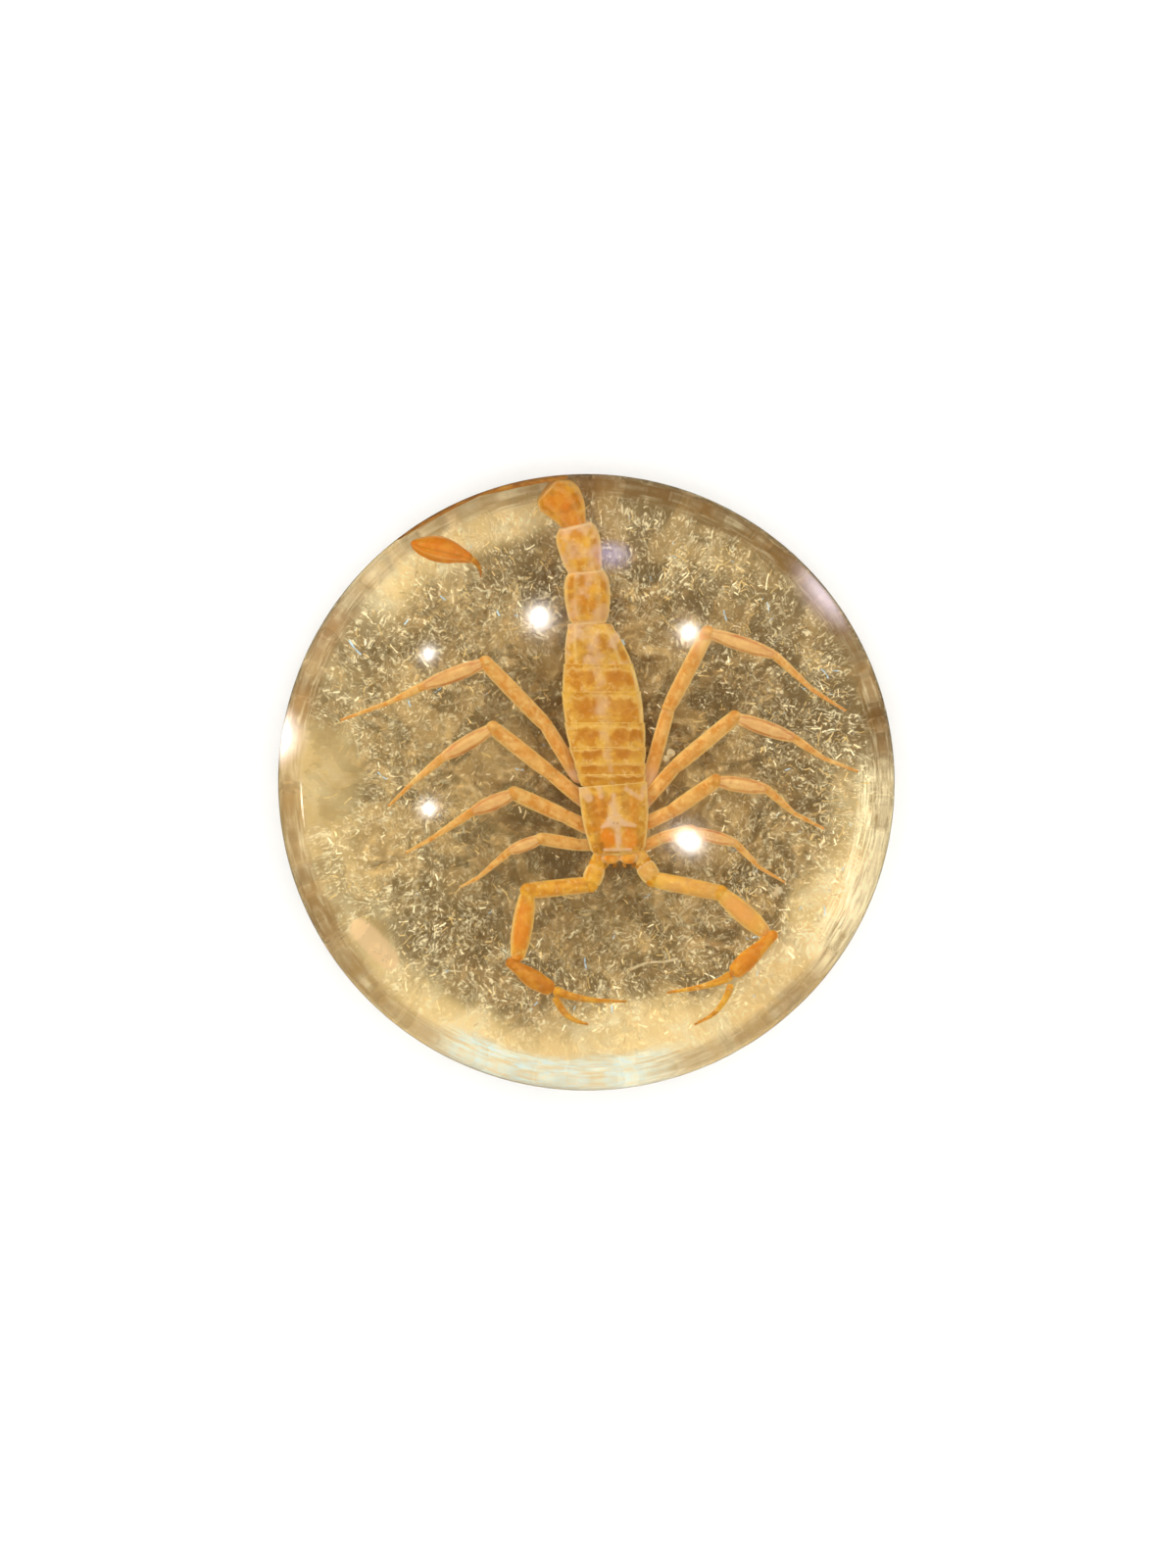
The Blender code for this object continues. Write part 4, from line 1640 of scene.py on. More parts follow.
KNOB = ((0.0, 0.75), (0.25, 1.0), (0.55, 1.08), (0.85, 0.95), (1.0, 0.7))
ARM_LOOKS = (
    LinkLook(ROD, warm=0.2, pale=0.6, milky=0.5),
    LinkLook(KNOB, warm=0.1, pale=0.9, milky=0.8),
    LinkLook(ROD, warm=0.15, pale=0.45),
    LinkLook(SPINDLE, warm=1.2, pale=0.6),
)
ARM_HALF_WIDTHS = (0.84, 0.82, 0.76, 0.92)
ARM_JOINTS: dict[Side, tuple[Point, ...]] = {
    Side.LEFT: ((1.80, -5.90, 8.6), (1.00, -7.25, 8.4), (0.35, -9.00, 8.5), (-5.15, -9.60, 9.2), (-6.10, -15.65, 9.0)),
    Side.RIGHT: ((4.10, -5.90, 8.6), (4.95, -7.10, 8.4), (5.90, -8.55, 8.5), (11.85, -9.80, 9.2), (15.95, -13.40, 9.2)),
}
HAND_SIZES = (0.58, 0.86, 0.66)
HANDS: dict[Side, tuple[Point, ...]] = {
    Side.LEFT: ((-6.00, -16.45, 8.9), (-4.70, -17.40, 8.9), (-2.90, -18.40, 8.8)),
    Side.RIGHT: ((15.70, -14.40, 9.1), (14.20, -15.80, 8.9), (12.90, -17.05, 8.8)),
}
FIXED_FINGER_SIZES = (0.36, 0.24, 0.09)
FIXED_FINGERS: dict[Side, tuple[Point, ...]] = {
    Side.LEFT: ((-2.90, -18.35, 8.75), (-1.60, -18.85, 8.7), (0.60, -19.25, 8.5), (3.60, -19.33, 8.2)),
    Side.RIGHT: ((12.90, -17.05, 8.75), (11.90, -17.55, 8.7), (10.00, -18.10, 8.5), (7.06, -18.55, 8.2)),
}
MOVING_FINGER_SIZES = (0.32, 0.28, 0.20, 0.09)
MOVING_FINGERS: dict[Side, tuple[Point, ...]] = {
    Side.LEFT: ((-2.85, -18.95, 8.65), (-1.90, -20.40, 8.5), (-0.90, -21.05, 8.3), (0.20, -21.35, 8.1)),
    Side.RIGHT: ((12.85, -17.85, 8.65), (12.25, -19.25, 8.5), (11.20, -20.50, 8.3), (9.50, -21.40, 8.1)),
}


@dataclass
class Claw:
    """The hand and the two fingers at the end of a claw arm."""

    side: Side
    dark: float

    def hand_patches(self) -> list[Patch]:
        """Builds the hand with its fixed finger.

        Returns:
            Their forms.
        """
        places = HANDS[self.side]
        sizes = HAND_SIZES
        start = np.array(places[0]) - (np.array(places[1]) - np.array(places[0])) * 0.8
        stations = [Station(tuple(start), sizes[0] * 0.8, sizes[0] * 0.8, sizes[0] * 0.8)]
        stations += [Station(place, size, size * 0.9, size * 0.9) for place, size in zip(places, sizes, strict=True)]
        hand = Loft(
            stations,
            rings=44,
            sides=36,
            start_round=0.4,
            end_round=0.45,
            relief=scaled(ridge_lines((-0.5, 0.0, 0.5), 0.14), 0.05),
            paint={
                # pale side edges: partly pale margins, partly a painted sheen where the outline catches the light
                Mark.PALE: side_edges(0.88, 1.0, 0.35),
                Mark.WARM: everywhere(0.6),
                Mark.DARK: strongest(everywhere(self.dark), end_bands(0.08, 0.10, 0.4)),
                Mark.HAIR: everywhere(0.7),
            },
        )
        return [hand.patch(), self.finger(FIXED_FINGERS[self.side], (0.5, *FIXED_FINGER_SIZES))]

    def moving_patches(self) -> list[Patch]:
        """Builds the moving finger.

        Returns:
            Its form.
        """
        return [self.finger(MOVING_FINGERS[self.side], MOVING_FINGER_SIZES)]

    def finger(self, places: Sequence[Point], sizes: Sequence[float]) -> Patch:
        """Builds one thin curved finger with a row of teeth along its inner side.

        Args:
            places: Places along it.
            sizes: Half width at each place.

        Returns:
            Its form.
        """

        def teeth(surface: Surface) -> Array:
            row = soft_step(-surface.across, 0.7, 0.95) * (surface.along > 0.1)
            return 0.035 * row * (0.5 + 0.5 * np.sin(surface.along * 130.0))

        return Loft(
            [Station(place, size, size, size) for place, size in zip(places, sizes, strict=True)],
            rings=64,
            sides=16,
            start_round=0.3,
            end_round=0.15,
            relief=teeth,
            paint={
                # pale side edges: partly pale margins, partly a painted sheen where the outline catches the light
                Mark.PALE: side_edges(0.75, 1.0, 0.3),
                Mark.DARK: strongest(everywhere(self.dark * 0.6), end_bands(0.0, 0.12, 0.6)),
                Mark.HAIR: everywhere(0.3),
            },
        ).patch()


@dataclass
class Jaws:
    """The two short jaws in front of the shield, each with a pair of tiny pincers."""

    middles: tuple[float, float] = (2.15, 3.75)
    start_y: float = -6.20
    end_y: float = -7.50
    half_width: float = 0.84
    height: float = 9.2

    def patches(self, side: Side) -> list[Patch]:
        """Builds one jaw.

        Args:
            side: Which of the two.

        Returns:
            Its forms.
        """
        x = self.middles[0] if side is Side.LEFT else self.middles[1]
        out = -1.0 if side is Side.LEFT else 1.0
        length = self.end_y - self.start_y
        body = Loft(
            [
                Station((x, self.start_y, self.height), self.half_width * 0.85, 0.7, 0.7),
                Station((x, self.start_y + length * 0.5, self.height), self.half_width, 0.75, 0.7),
                Station((x, self.start_y + length * 0.72, self.height - 0.1), self.half_width * 0.7, 0.5, 0.5),
            ],
            rings=26,
            sides=28,
            start_round=0.3,
            end_round=0.4,
            paint={Mark.MILKY: side_edges(0.5, 0.95, 0.7), Mark.WARM: band(0.3, 0.9, 0.6)},
        )
        pincers = [
            Loft(
                [
                    Station((x + offset, self.start_y + length * 0.55, self.height - 0.1), 0.24, 0.24, 0.24),
                    Station((x + offset * 1.3, self.start_y + length * 0.85, self.height - 0.2), 0.16, 0.16, 0.16),
                    Station((x + offset * 0.7, self.end_y, self.height - 0.3), 0.05, 0.05, 0.05),
                ],
                rings=18,
                sides=12,
                start_round=0.15,
                end_round=0.08,
                paint={Mark.DARK: everywhere(0.9)},
            ).patch()
            for offset in (-0.3 * out, 0.35 * out)
        ]
        return [body.patch(), *pincers]


TAIL_SEGMENTS = (
    TailSegment(
        ((0.20, 14.40, 9.6), (0.00, 18.40, 9.6)), 1.92, 1.5, pale=0.75, base_share=0.92, dark=0.50, milky=0.45
    ),
    TailSegment(
        ((-0.10, 18.75, 9.6), (-0.95, 22.55, 9.5)), 1.84, 1.45, pale=0.7, base_share=0.84, dark=0.40, milky=0.50
    ),
    TailSegment(
        ((-1.05, 22.90, 9.5), (-2.40, 26.60, 9.3)), 1.96, 1.4, warm=0.7, pale=0.45, base_share=0.60, dark=0.6,
        spot=1.0, bend=(-1.1, -0.5),
    ),
    TailSegment(((-2.20, 28.30, 9.2), (-9.50, 26.95, 9.1)), 0.38, 1.1, warm=0.5, pale=0.0, dark=2.0),
    TailSegment(((-9.80, 26.85, 9.1), (-17.20, 22.95, 9.0)), 0.26, 0.9, warm=0.5, pale=0.0, dark=2.4),
)

AMBER = ShellFinish("amber_shell", Slot.AMBER, paint_colour(234, 182, 76), paint_colour(206, 138, 30))
ORANGE = ShellFinish("orange_shell", Slot.ORANGE, paint_colour(242, 182, 58), paint_colour(218, 140, 20))
LEG = ShellFinish("leg_shell", Slot.LEG, paint_colour(242, 192, 112), paint_colour(222, 150, 60))


class Scorpion:
    """The whole animal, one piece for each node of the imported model."""

    def __init__(self, groups: SharedGroups) -> None:
        """Builds the materials of the animal's finishes."""
        self.materials = {finish.slot: finish.material(groups) for finish in (AMBER, ORANGE, LEG)}
        self.forms: list[Patch] = []

    def piece(self, node: str, patches: Sequence[Patch], slot: Slot) -> None:
        """Makes the piece that stands for one node.

        Args:
            node: Name of the node.
            patches: The piece's forms.
            slot: The slot that its finish comes from.
        """
        form = join_patches(patches)
        self.forms.append(form)
        name = f"{node}_shell"
        put_in_frame(add_object(name, mesh_of(name, form)), self.materials[slot], [node])

    def build(self) -> None:
        """Builds every piece."""
        self.piece("carapace", Carapace().patches(), Slot.AMBER)
        self.piece("abdomen", Abdomen().patches(), Slot.AMBER)
        for side in Side:
            self.piece(f"jaw_{side.value}", Jaws().patches(side), Slot.AMBER)
        for number, segment in enumerate(TAIL_SEGMENTS, start=1):
            self.piece(f"tail_segment_{number}", segment.patches(), Slot.ORANGE)
        self.piece("stinger", Stinger().patches(), Slot.ORANGE)
        for side in Side:
            pallor = 0.0 if side is Side.LEFT else 0.3
            arm = Limb(ARM_JOINTS[side], ARM_HALF_WIDTHS, ARM_LOOKS, dark=0.05, pallor=pallor)
            claw = Claw(side, dark=0.55 if side is Side.LEFT else 0.15)
            self.piece(f"claw_arm_{side.value}", arm.patches(), Slot.ORANGE)
            self.piece(f"claw_{side.value}", claw.hand_patches(), Slot.ORANGE)
            self.piece(f"claw_finger_{side.value}", claw.moving_patches(), Slot.ORANGE)
        for (side, number), joints in LEG_JOINTS.items():
            share = FRONT_LEG_SHARE if number == 1 else 1.0
            widths = tuple(width * share for width in LEG_HALF_WIDTHS)
            self.piece(f"leg_{side.value}_{number}", Limb(joints, widths, LEG_LOOKS).patches(), Slot.LEG)


class GeometryTree:
    """A Geometry Nodes tree with named number inputs, run once on an object to give a plain mesh."""

    def __init__(self, name: str, numbers: Mapping[str, float], takes_mesh: bool = False) -> None:
        """Starts the tree.

        Args:
            name: Name of the tree.
            numbers: Its named inputs with their values.
            takes_mesh: Whether it reads the object's own mesh.
        """
        self.name = name
        self.numbers = dict(numbers)
        self.tree = bpy.data.node_groups.new(name, "GeometryNodeTree")
        self.tree.interface.new_socket(name="Geometry", in_out="OUTPUT", socket_type="NodeSocketGeometry")
        if takes_mesh:
            self.tree.interface.new_socket(name="Geometry", in_out="INPUT", socket_type="NodeSocketGeometry")
        self.identifiers = {}
        for label, value in self.numbers.items():
            kind = "NodeSocketInt" if isinstance(value, int) else "NodeSocketFloat"
            socket = self.tree.interface.new_socket(name=label, in_out="INPUT", socket_type=kind)
            self.identifiers[label] = socket.identifier
        self.graph = Graph(self.tree)
        self.start = self.graph.add("NodeGroupInput")
        self.end = self.graph.add("NodeGroupOutput")

    def number(self, label: str) -> bpy.types.NodeSocket:
        """Gives one of the named inputs inside the tree."""
        return self.start.outputs[label]

    def finish(self, geometry: bpy.types.NodeSocket, material: bpy.types.Material) -> None:
        """Ends the tree with plain geometry that carries its material.

        Args:
            geometry: What the tree has built.
            material: Its material.
        """
        plain = self.graph.add("GeometryNodeRealizeInstances", {"Geometry": geometry}).outputs[0]
        smooth = self.graph.add("GeometryNodeSetShadeSmooth", {"Geometry": plain}).outputs[0]
        dressed = self.graph.add("GeometryNodeSetMaterial", {"Geometry": smooth, "Material": material})
        self.graph.feed(self.end, "Geometry", dressed.outputs[0])

    def run(self, mesh: bpy.types.Mesh) -> bpy.types.Object:
        """Runs the tree on an object of its own.

        Args:
            mesh: The mesh that the object starts with.

        Returns:
            The object, with the result as its plain mesh and no modifier left.
        """
        thing = add_object(self.name, mesh)
        modifier = thing.modifiers.new(self.name, "NODES")
        modifier.node_group = self.tree
        for label, identifier in self.identifiers.items():
            modifier[identifier] = self.numbers[label]
        depsgraph = bpy.context.evaluated_depsgraph_get()
        result = bpy.data.meshes.new_from_object(thing.evaluated_get(depsgraph))
        thing.modifiers.remove(modifier)
        thing.data = result
        result.name = self.name
        return thing


@dataclass
class ResinPuck:
    """The clear casting: a round wall under an elliptical dome, with a few trapped bubbles."""

    radius: float = PUCK_RADIUS
    wall: float = WALL_TOP
    rise: float = DOME_RISE
    foot: float = 0.22
    edge_power: float = 44.0
    around: int = 224
    along: int = 112
    bubble_seed: int = 7

    def build(self, finish: ResinFinish) -> None:
        """Builds the casting and puts it into the frame.

        Args:
            finish: Its finish.
        """
        material = finish.material()
        tree = GeometryTree(
            "resin_puck",
            {
                "Radius": self.radius * MM,
                "Wall": (self.wall - self.foot) * MM,
                "Rise": self.rise * MM,
                "Foot": self.foot * MM,
                "Edge Power": self.edge_power,
                "Around": self.around,
                "Along": self.along,
            },
        )
        tree.finish(self.form(tree), material)
        puck = tree.run(bpy.data.meshes.new("empty"))
        self.add_bubbles(puck)
        put_in_frame(puck, material, ["resin_top", "resin_base"])

    def form(self, tree: GeometryTree) -> bpy.types.NodeSocket:
        """Bends a flat grid round the axis into the casting.

        Args:
            tree: The tree that it is built in.

        Returns:
            The closed mesh's socket.
        """
        graph = tree.graph
        grid = graph.add(
            "GeometryNodeMeshGrid",
            {
                "Size X": 1.0,
                "Size Y": 1.0,
                "Vertices X": tree.number("Around"),
                "Vertices Y": tree.number("Along"),
            },
        )
        place = graph.add("ShaderNodeSeparateXYZ", {0: graph.add("GeometryNodeInputPosition").outputs[0]})
        turn = graph.math("MULTIPLY", place.outputs[0], 2.0 * math.pi)
        slope = graph.math("MULTIPLY", place.outputs[1], math.pi)
        above = graph.math("GREATER_THAN", slope, 0.0)
        edge = graph.math("DIVIDE", 2.0, tree.number("Edge Power"))
        power = graph.math("ADD", edge, graph.math("MULTIPLY", above, graph.math("SUBTRACT", 1.0, edge)))
        out = graph.math("POWER", graph.math("ABSOLUTE", graph.math("COSINE", slope)), power)
        up = graph.math("POWER", graph.math("ABSOLUTE", graph.math("SINE", slope)), power)
        reach = graph.math("MULTIPLY", out, tree.number("Radius"))
        top = graph.math("MULTIPLY", graph.math("MULTIPLY", up, tree.number("Rise")), above)
        below = graph.math("SUBTRACT", 1.0, above)
        bottom = graph.math("MULTIPLY", graph.math("MULTIPLY", up, tree.number("Wall")), below)
        height = graph.math("ADD", graph.math("SUBTRACT", top, bottom), tree.number("Wall"))
        bent = graph.add(
            "ShaderNodeCombineXYZ",
            {
                0: graph.math("MULTIPLY", reach, graph.math("COSINE", turn)),
                1: graph.math("MULTIPLY", reach, graph.math("SINE", turn)),
                2: graph.math("ADD", height, tree.number("Foot")),
            },
        )
        shaped = graph.add(
            "GeometryNodeSetPosition", {"Geometry": grid.outputs[0], "Position": bent.outputs[0]}
        ).outputs[0]
        return graph.add("GeometryNodeMergeByDistance", {"Geometry": shaped, "Distance": 1e-6}).outputs[0]

    def add_bubbles(self, puck: bpy.types.Object) -> None:
        """Adds the round hollows of trapped bubbles to the casting's mesh.

        Args:
            puck: The casting.
        """
        chance = np.random.default_rng(self.bubble_seed)
        hollows = [
            (float(chance.uniform(-20, 20)), float(chance.uniform(-20, 20)), float(chance.uniform(3, 14)))
            for _ in range(14)
        ]
        hollows += [(-14.6 + 0.18 * step, 12.1 - 0.16 * step, 8.6) for step in range(4)]
        patches = []
        for x, y, z in hollows:
            ball = bead((x, y, z), float(chance.uniform(0.05, 0.11)), Mark.PALE)
            patches.append(Patch(ball.points, [face[::-1] for face in ball.faces]))
        joined = join_patches(patches)
        old = puck.data
        count = len(old.vertices)
        points = np.empty(count * 3)
        old.vertices.foreach_get("co", points)
        faces = [tuple(polygon.vertices) for polygon in old.polygons]
        faces += [tuple(index + count for index in face) for face in joined.faces]
        whole = Patch(np.vstack([points.reshape(-1, 3) / MM, joined.points]), faces)
        puck.data = mesh_of("resin_puck", whole)


@dataclass
class GoldFilm:
    """The crinkled metallised film at the bottom: a thin closed disc with a creased top."""

    radius: float = 29.88
    level: float = 1.0
    squares: int = 268
    creases: tuple[tuple[float, float], ...] = ((5.2, 0.34), (2.4, 0.22), (1.1, 0.13), (0.6, 0.07))
    smooth_spots: tuple[tuple[Plan, float], ...] = (((-22.0, 0.5), 5.5), ((-17.9, -13.5), 2.9))
    # painted shade: darker spots on the film, each with its middle, size and strength
    shaded_spots: tuple[tuple[Plan, float, float], ...] = (
        ((1.0, -12.6), 6.5, 0.70),
        ((-11.1, -12.2), 7.0, 0.95),
        ((-7.3, 16.0), 4.5, 0.55),
        ((-19.3, 12.0), 5.5, 0.80),
        ((22.2, 4.7), 4.5, 0.75),
        ((-21.5, 6.0), 3.6, 0.60),
    )
    foot_ring: tuple[tuple[float, float], ...] = ((0.0, 0.62), (0.10, 0.25), (0.34, 0.06), (0.62, 0.0))

    def build(self, finish: FilmFinish, groups: SharedGroups) -> bpy.types.Mesh:
        """Builds the film and puts it into the frame.

        Args:
            finish: Its finish.
            groups: The shared node groups.

        Returns:
            The film's mesh, for the flakes to be strewn on.
        """
        mesh = mesh_of("gold_film", self.form())
        put_in_frame(add_object("gold_film", mesh), finish.material(groups), ["gold_backing"])
        return mesh

    def form(self) -> Patch:
        """Works out the creased top, the side and the flat underside.

        Returns:
            The closed form.
        """
        count = self.squares
        line = np.linspace(-1.0, 1.0, count)
        u, v = np.meshgrid(line, line, indexing="ij")
        x = self.radius * u * np.sqrt(1.0 - v**2 / 2.0)
        y = self.radius * v * np.sqrt(1.0 - u**2 / 2.0)
        crinkled = self.crinkled(x, y)
        z = self.level + self.relief(x, y) * crinkled
        top = np.column_stack([x.ravel(), y.ravel(), z.ravel()])
        corner = np.arange(count * count).reshape(count, count)
        faces = [
            tuple(face)
            for face in np.stack(
                [corner[:-1, :-1], corner[1:, :-1], corner[1:, 1:], corner[:-1, 1:]], axis=-1
            ).reshape(-1, 4).tolist()
        ]
        border = np.concatenate([corner[:-1, 0], corner[-1, :-1], corner[:0:-1, -1], corner[0, :0:-1]])
        points = [top]
        above = border
        start = len(top)
        outward = top[border][:, :2] / np.linalg.norm(top[border][:, :2], axis=1)[:, None]
        for inset, height in self.foot_ring:
            ring = np.column_stack([outward * (self.radius - inset), np.full(len(border), height)])
            below = np.arange(start, start + len(border))
            points.append(ring)
            for index in range(len(border)):
                after = (index + 1) % len(border)
                faces.append((above[index], below[index], below[after], above[after]))
            above, start = below, start + len(border)
        points.append(np.zeros((1, 3)))
        faces += [(above[index], start, above[(index + 1) % len(border)]) for index in range(len(border))]
        everything = np.vstack(points)
        reach = np.hypot(everything[:, 0], everything[:, 1])
        on_top = (np.arange(len(everything)) < len(top)) & (reach < self.radius - 0.3)
        return Patch(everything, faces, self.paint(everything, reach, on_top))

    def worn(self, x: Array, y: Array) -> Array:
        """Gives how much of the film's pattern shows: less at its smooth spots."""
        shown = np.ones_like(x)
        for (spot_x, spot_y), size in self.smooth_spots:
            away = np.hypot((x - spot_x) / 0.7, y - spot_y)
            shown = shown * (0.12 + 0.88 * soft_step(away, size * 0.6, size))
        return shown

    def crinkled(self, x: Array, y: Array) -> Array:
        """Gives how strongly the film is creased: little near its edge and at its smooth spots."""
        reach = np.hypot(x, y)
        edge = 1.0 - soft_step(reach, self.radius - 0.9, self.radius - 0.1)
        return edge * (1.0 - 0.85 * soft_step(reach, 16.0, 22.0)) * self.worn(x, y)

    def relief(self, x: Array, y: Array) -> Array:
        """Adds up creases of several sizes.

        Args:
            x: Places in millimetres.
            y: Places in millimetres.

        Returns:
            Heights in millimetres, about 0 on average.
        """
        bend_x = LatticeNoise(31, 3.0).at(x, y)
        bend_y = LatticeNoise(32, 3.0).at(x, y)
        height = np.zeros_like(x)
        for seed, (cell, amount) in enumerate(self.creases, start=40):
            wave = LatticeNoise(seed, cell).at(x + 2.4 * bend_x * cell, y + 2.4 * bend_y * cell)
            height += amount * (1.0 - 2.0 * np.abs(2.0 * wave - 1.0) ** 0.8)
        return height * 0.55

    def paint(self, points: Array, reach: Array, on_top: Array) -> dict[str, Array]:
        """Gives the film's painted values.

        Args:
            points: All its points.
            reach: How far each is from the axis.
            on_top: Which points are on its top.

        Returns:
            Values by name: golden (a painted glow), cream, plain, shaded (painted shade), creased, brushed and
                sparkling (where painted highlights go), glinting (painted glints), with a bluish painted sheen,
                puckered, and strewn with flakes.
        """
        x, y = points[:, 0], points[:, 1]
        crinkled = self.crinkled(x, y)
        uneven = LatticeNoise(60, 4.0).at(x, y) - 0.5
        # rim, front, left, back_left and gold make the painted glow: the rim and front crescent are painted brighter
        # gold
        rim = soft_step(reach + 2.6 * uneven, 19.0, 21.6)
        front = soft_step(-y + 0.35 * x + 4.0 * uneven, 3.0, 16.0)
        left = soft_step(-x + 5.0 * uneven, 6.0, 18.0)
        back_left = soft_step(reach + uneven, 20.6, 22.2) * soft_step(-x, 0.5, 4.0) * soft_step(y, 10.0, 16.0)
        gold = rim * (0.08 + 0.87 * np.maximum(front, 0.22 * left)) + 0.06 * soft_step(-x + 6.0 * uneven, 2.0, 12.0)
        gold = gold + 0.75 * back_left
        smooth_arc = soft_step(reach, 20.0, 21.2) * front * (1.0 - 0.8 * soft_step(x, 9.0, 14.0))
        bottom = soft_step(-y, 19.0, 21.5) * (1.0 - soft_step(np.abs(x + 3.0), 6.0, 13.0))
        # painted reflection: where the bluish sheen lies along the bottom edge
        sheen = soft_step(reach + 0.3 * uneven, 22.5, 23.1) * bottom
        puckered = soft_step(reach + 0.5 * uneven + 0.6 * bottom, 23.0, 23.7)
        shown = self.worn(x, y) * on_top
        strewn = (0.40 + 0.35 * rim + 0.25 * soft_step(reach, 10.0, 16.0)) * shown
        strewn = strewn * (1.0 - 0.75 * smooth_arc) * (1.0 - soft_step(reach, 22.4, 22.9))
        cream = self.cream_patch(x, y) * on_top
        # brushed and sparkling: how strongly the painted crease highlights and painted sparks show
        brushed = shown * (1.0 - 0.4 * smooth_arc) * (1.0 - puckered) * (1.0 - cream)
        outer = soft_step(reach, 9.0, 18.0)
        right = soft_step(x, 14.0, 20.0) * soft_step(reach, 21.0, 22.4) * soft_step(-y, -9.0, 2.0)
        sparkling = shown * (0.14 + 0.50 * outer + 0.6 * right) * (1.0 - 0.4 * smooth_arc) * (1.0 - cream)
        return {
            "rim": np.clip(gold, 0.0, 1.0),
            "cream": cream,
            "plain": (1.0 - self.worn(x, y)) * on_top,
            "shaded": self.shaded(x + 2.0 * uneven, y - 2.0 * uneven),
            "crinkled": crinkled * on_top * (1.0 - 0.6 * smooth_arc) * (1.0 - 0.7 * puckered) * (1.0 - cream),
            "brushed": brushed * (0.45 + 0.55 * soft_step(reach, 8.0, 17.0)),
            "sparkling": np.clip(sparkling * (1.0 - 0.6 * puckered), 0.0, 1.0),
            # glinting: where painted glints go on the right rim
            "glinting": soft_step(x, 17.5, 20.0) * soft_step(reach, 22.2, 22.8) * soft_step(-y, -4.0, 1.0),
            "sheen": sheen,
            "puckered": puckered,
            "strewn": strewn,
        }

    def shaded(self, x: Array, y: Array) -> Array:
        """Gives the painted shade at the film's darker spots."""
        cover = np.zeros_like(x)
        for (spot_x, spot_y), size, strength in self.shaded_spots:
            away = np.hypot(x - spot_x, y - spot_y) / size
            cover = np.maximum(cover, strength * (1.0 - soft_step(away, 0.2, 1.0)))
        return cover

    @staticmethod
    def cream_patch(x: Array, y: Array) -> Array:
        """Gives a flat cream patch with a crisp outline in the front left, where the film lies smooth."""
        turn = math.radians(217.4)
        out = x * math.cos(turn) + y * math.sin(turn) - 22.1
        side = -x * math.sin(turn) + y * math.cos(turn)
        away = np.abs(out / 0.8 + 0.25 * side / 2.6) ** 3 + np.abs(side / 2.6) ** 3
        return 0.9 * (1.0 - soft_step(away, 0.75, 1.15))


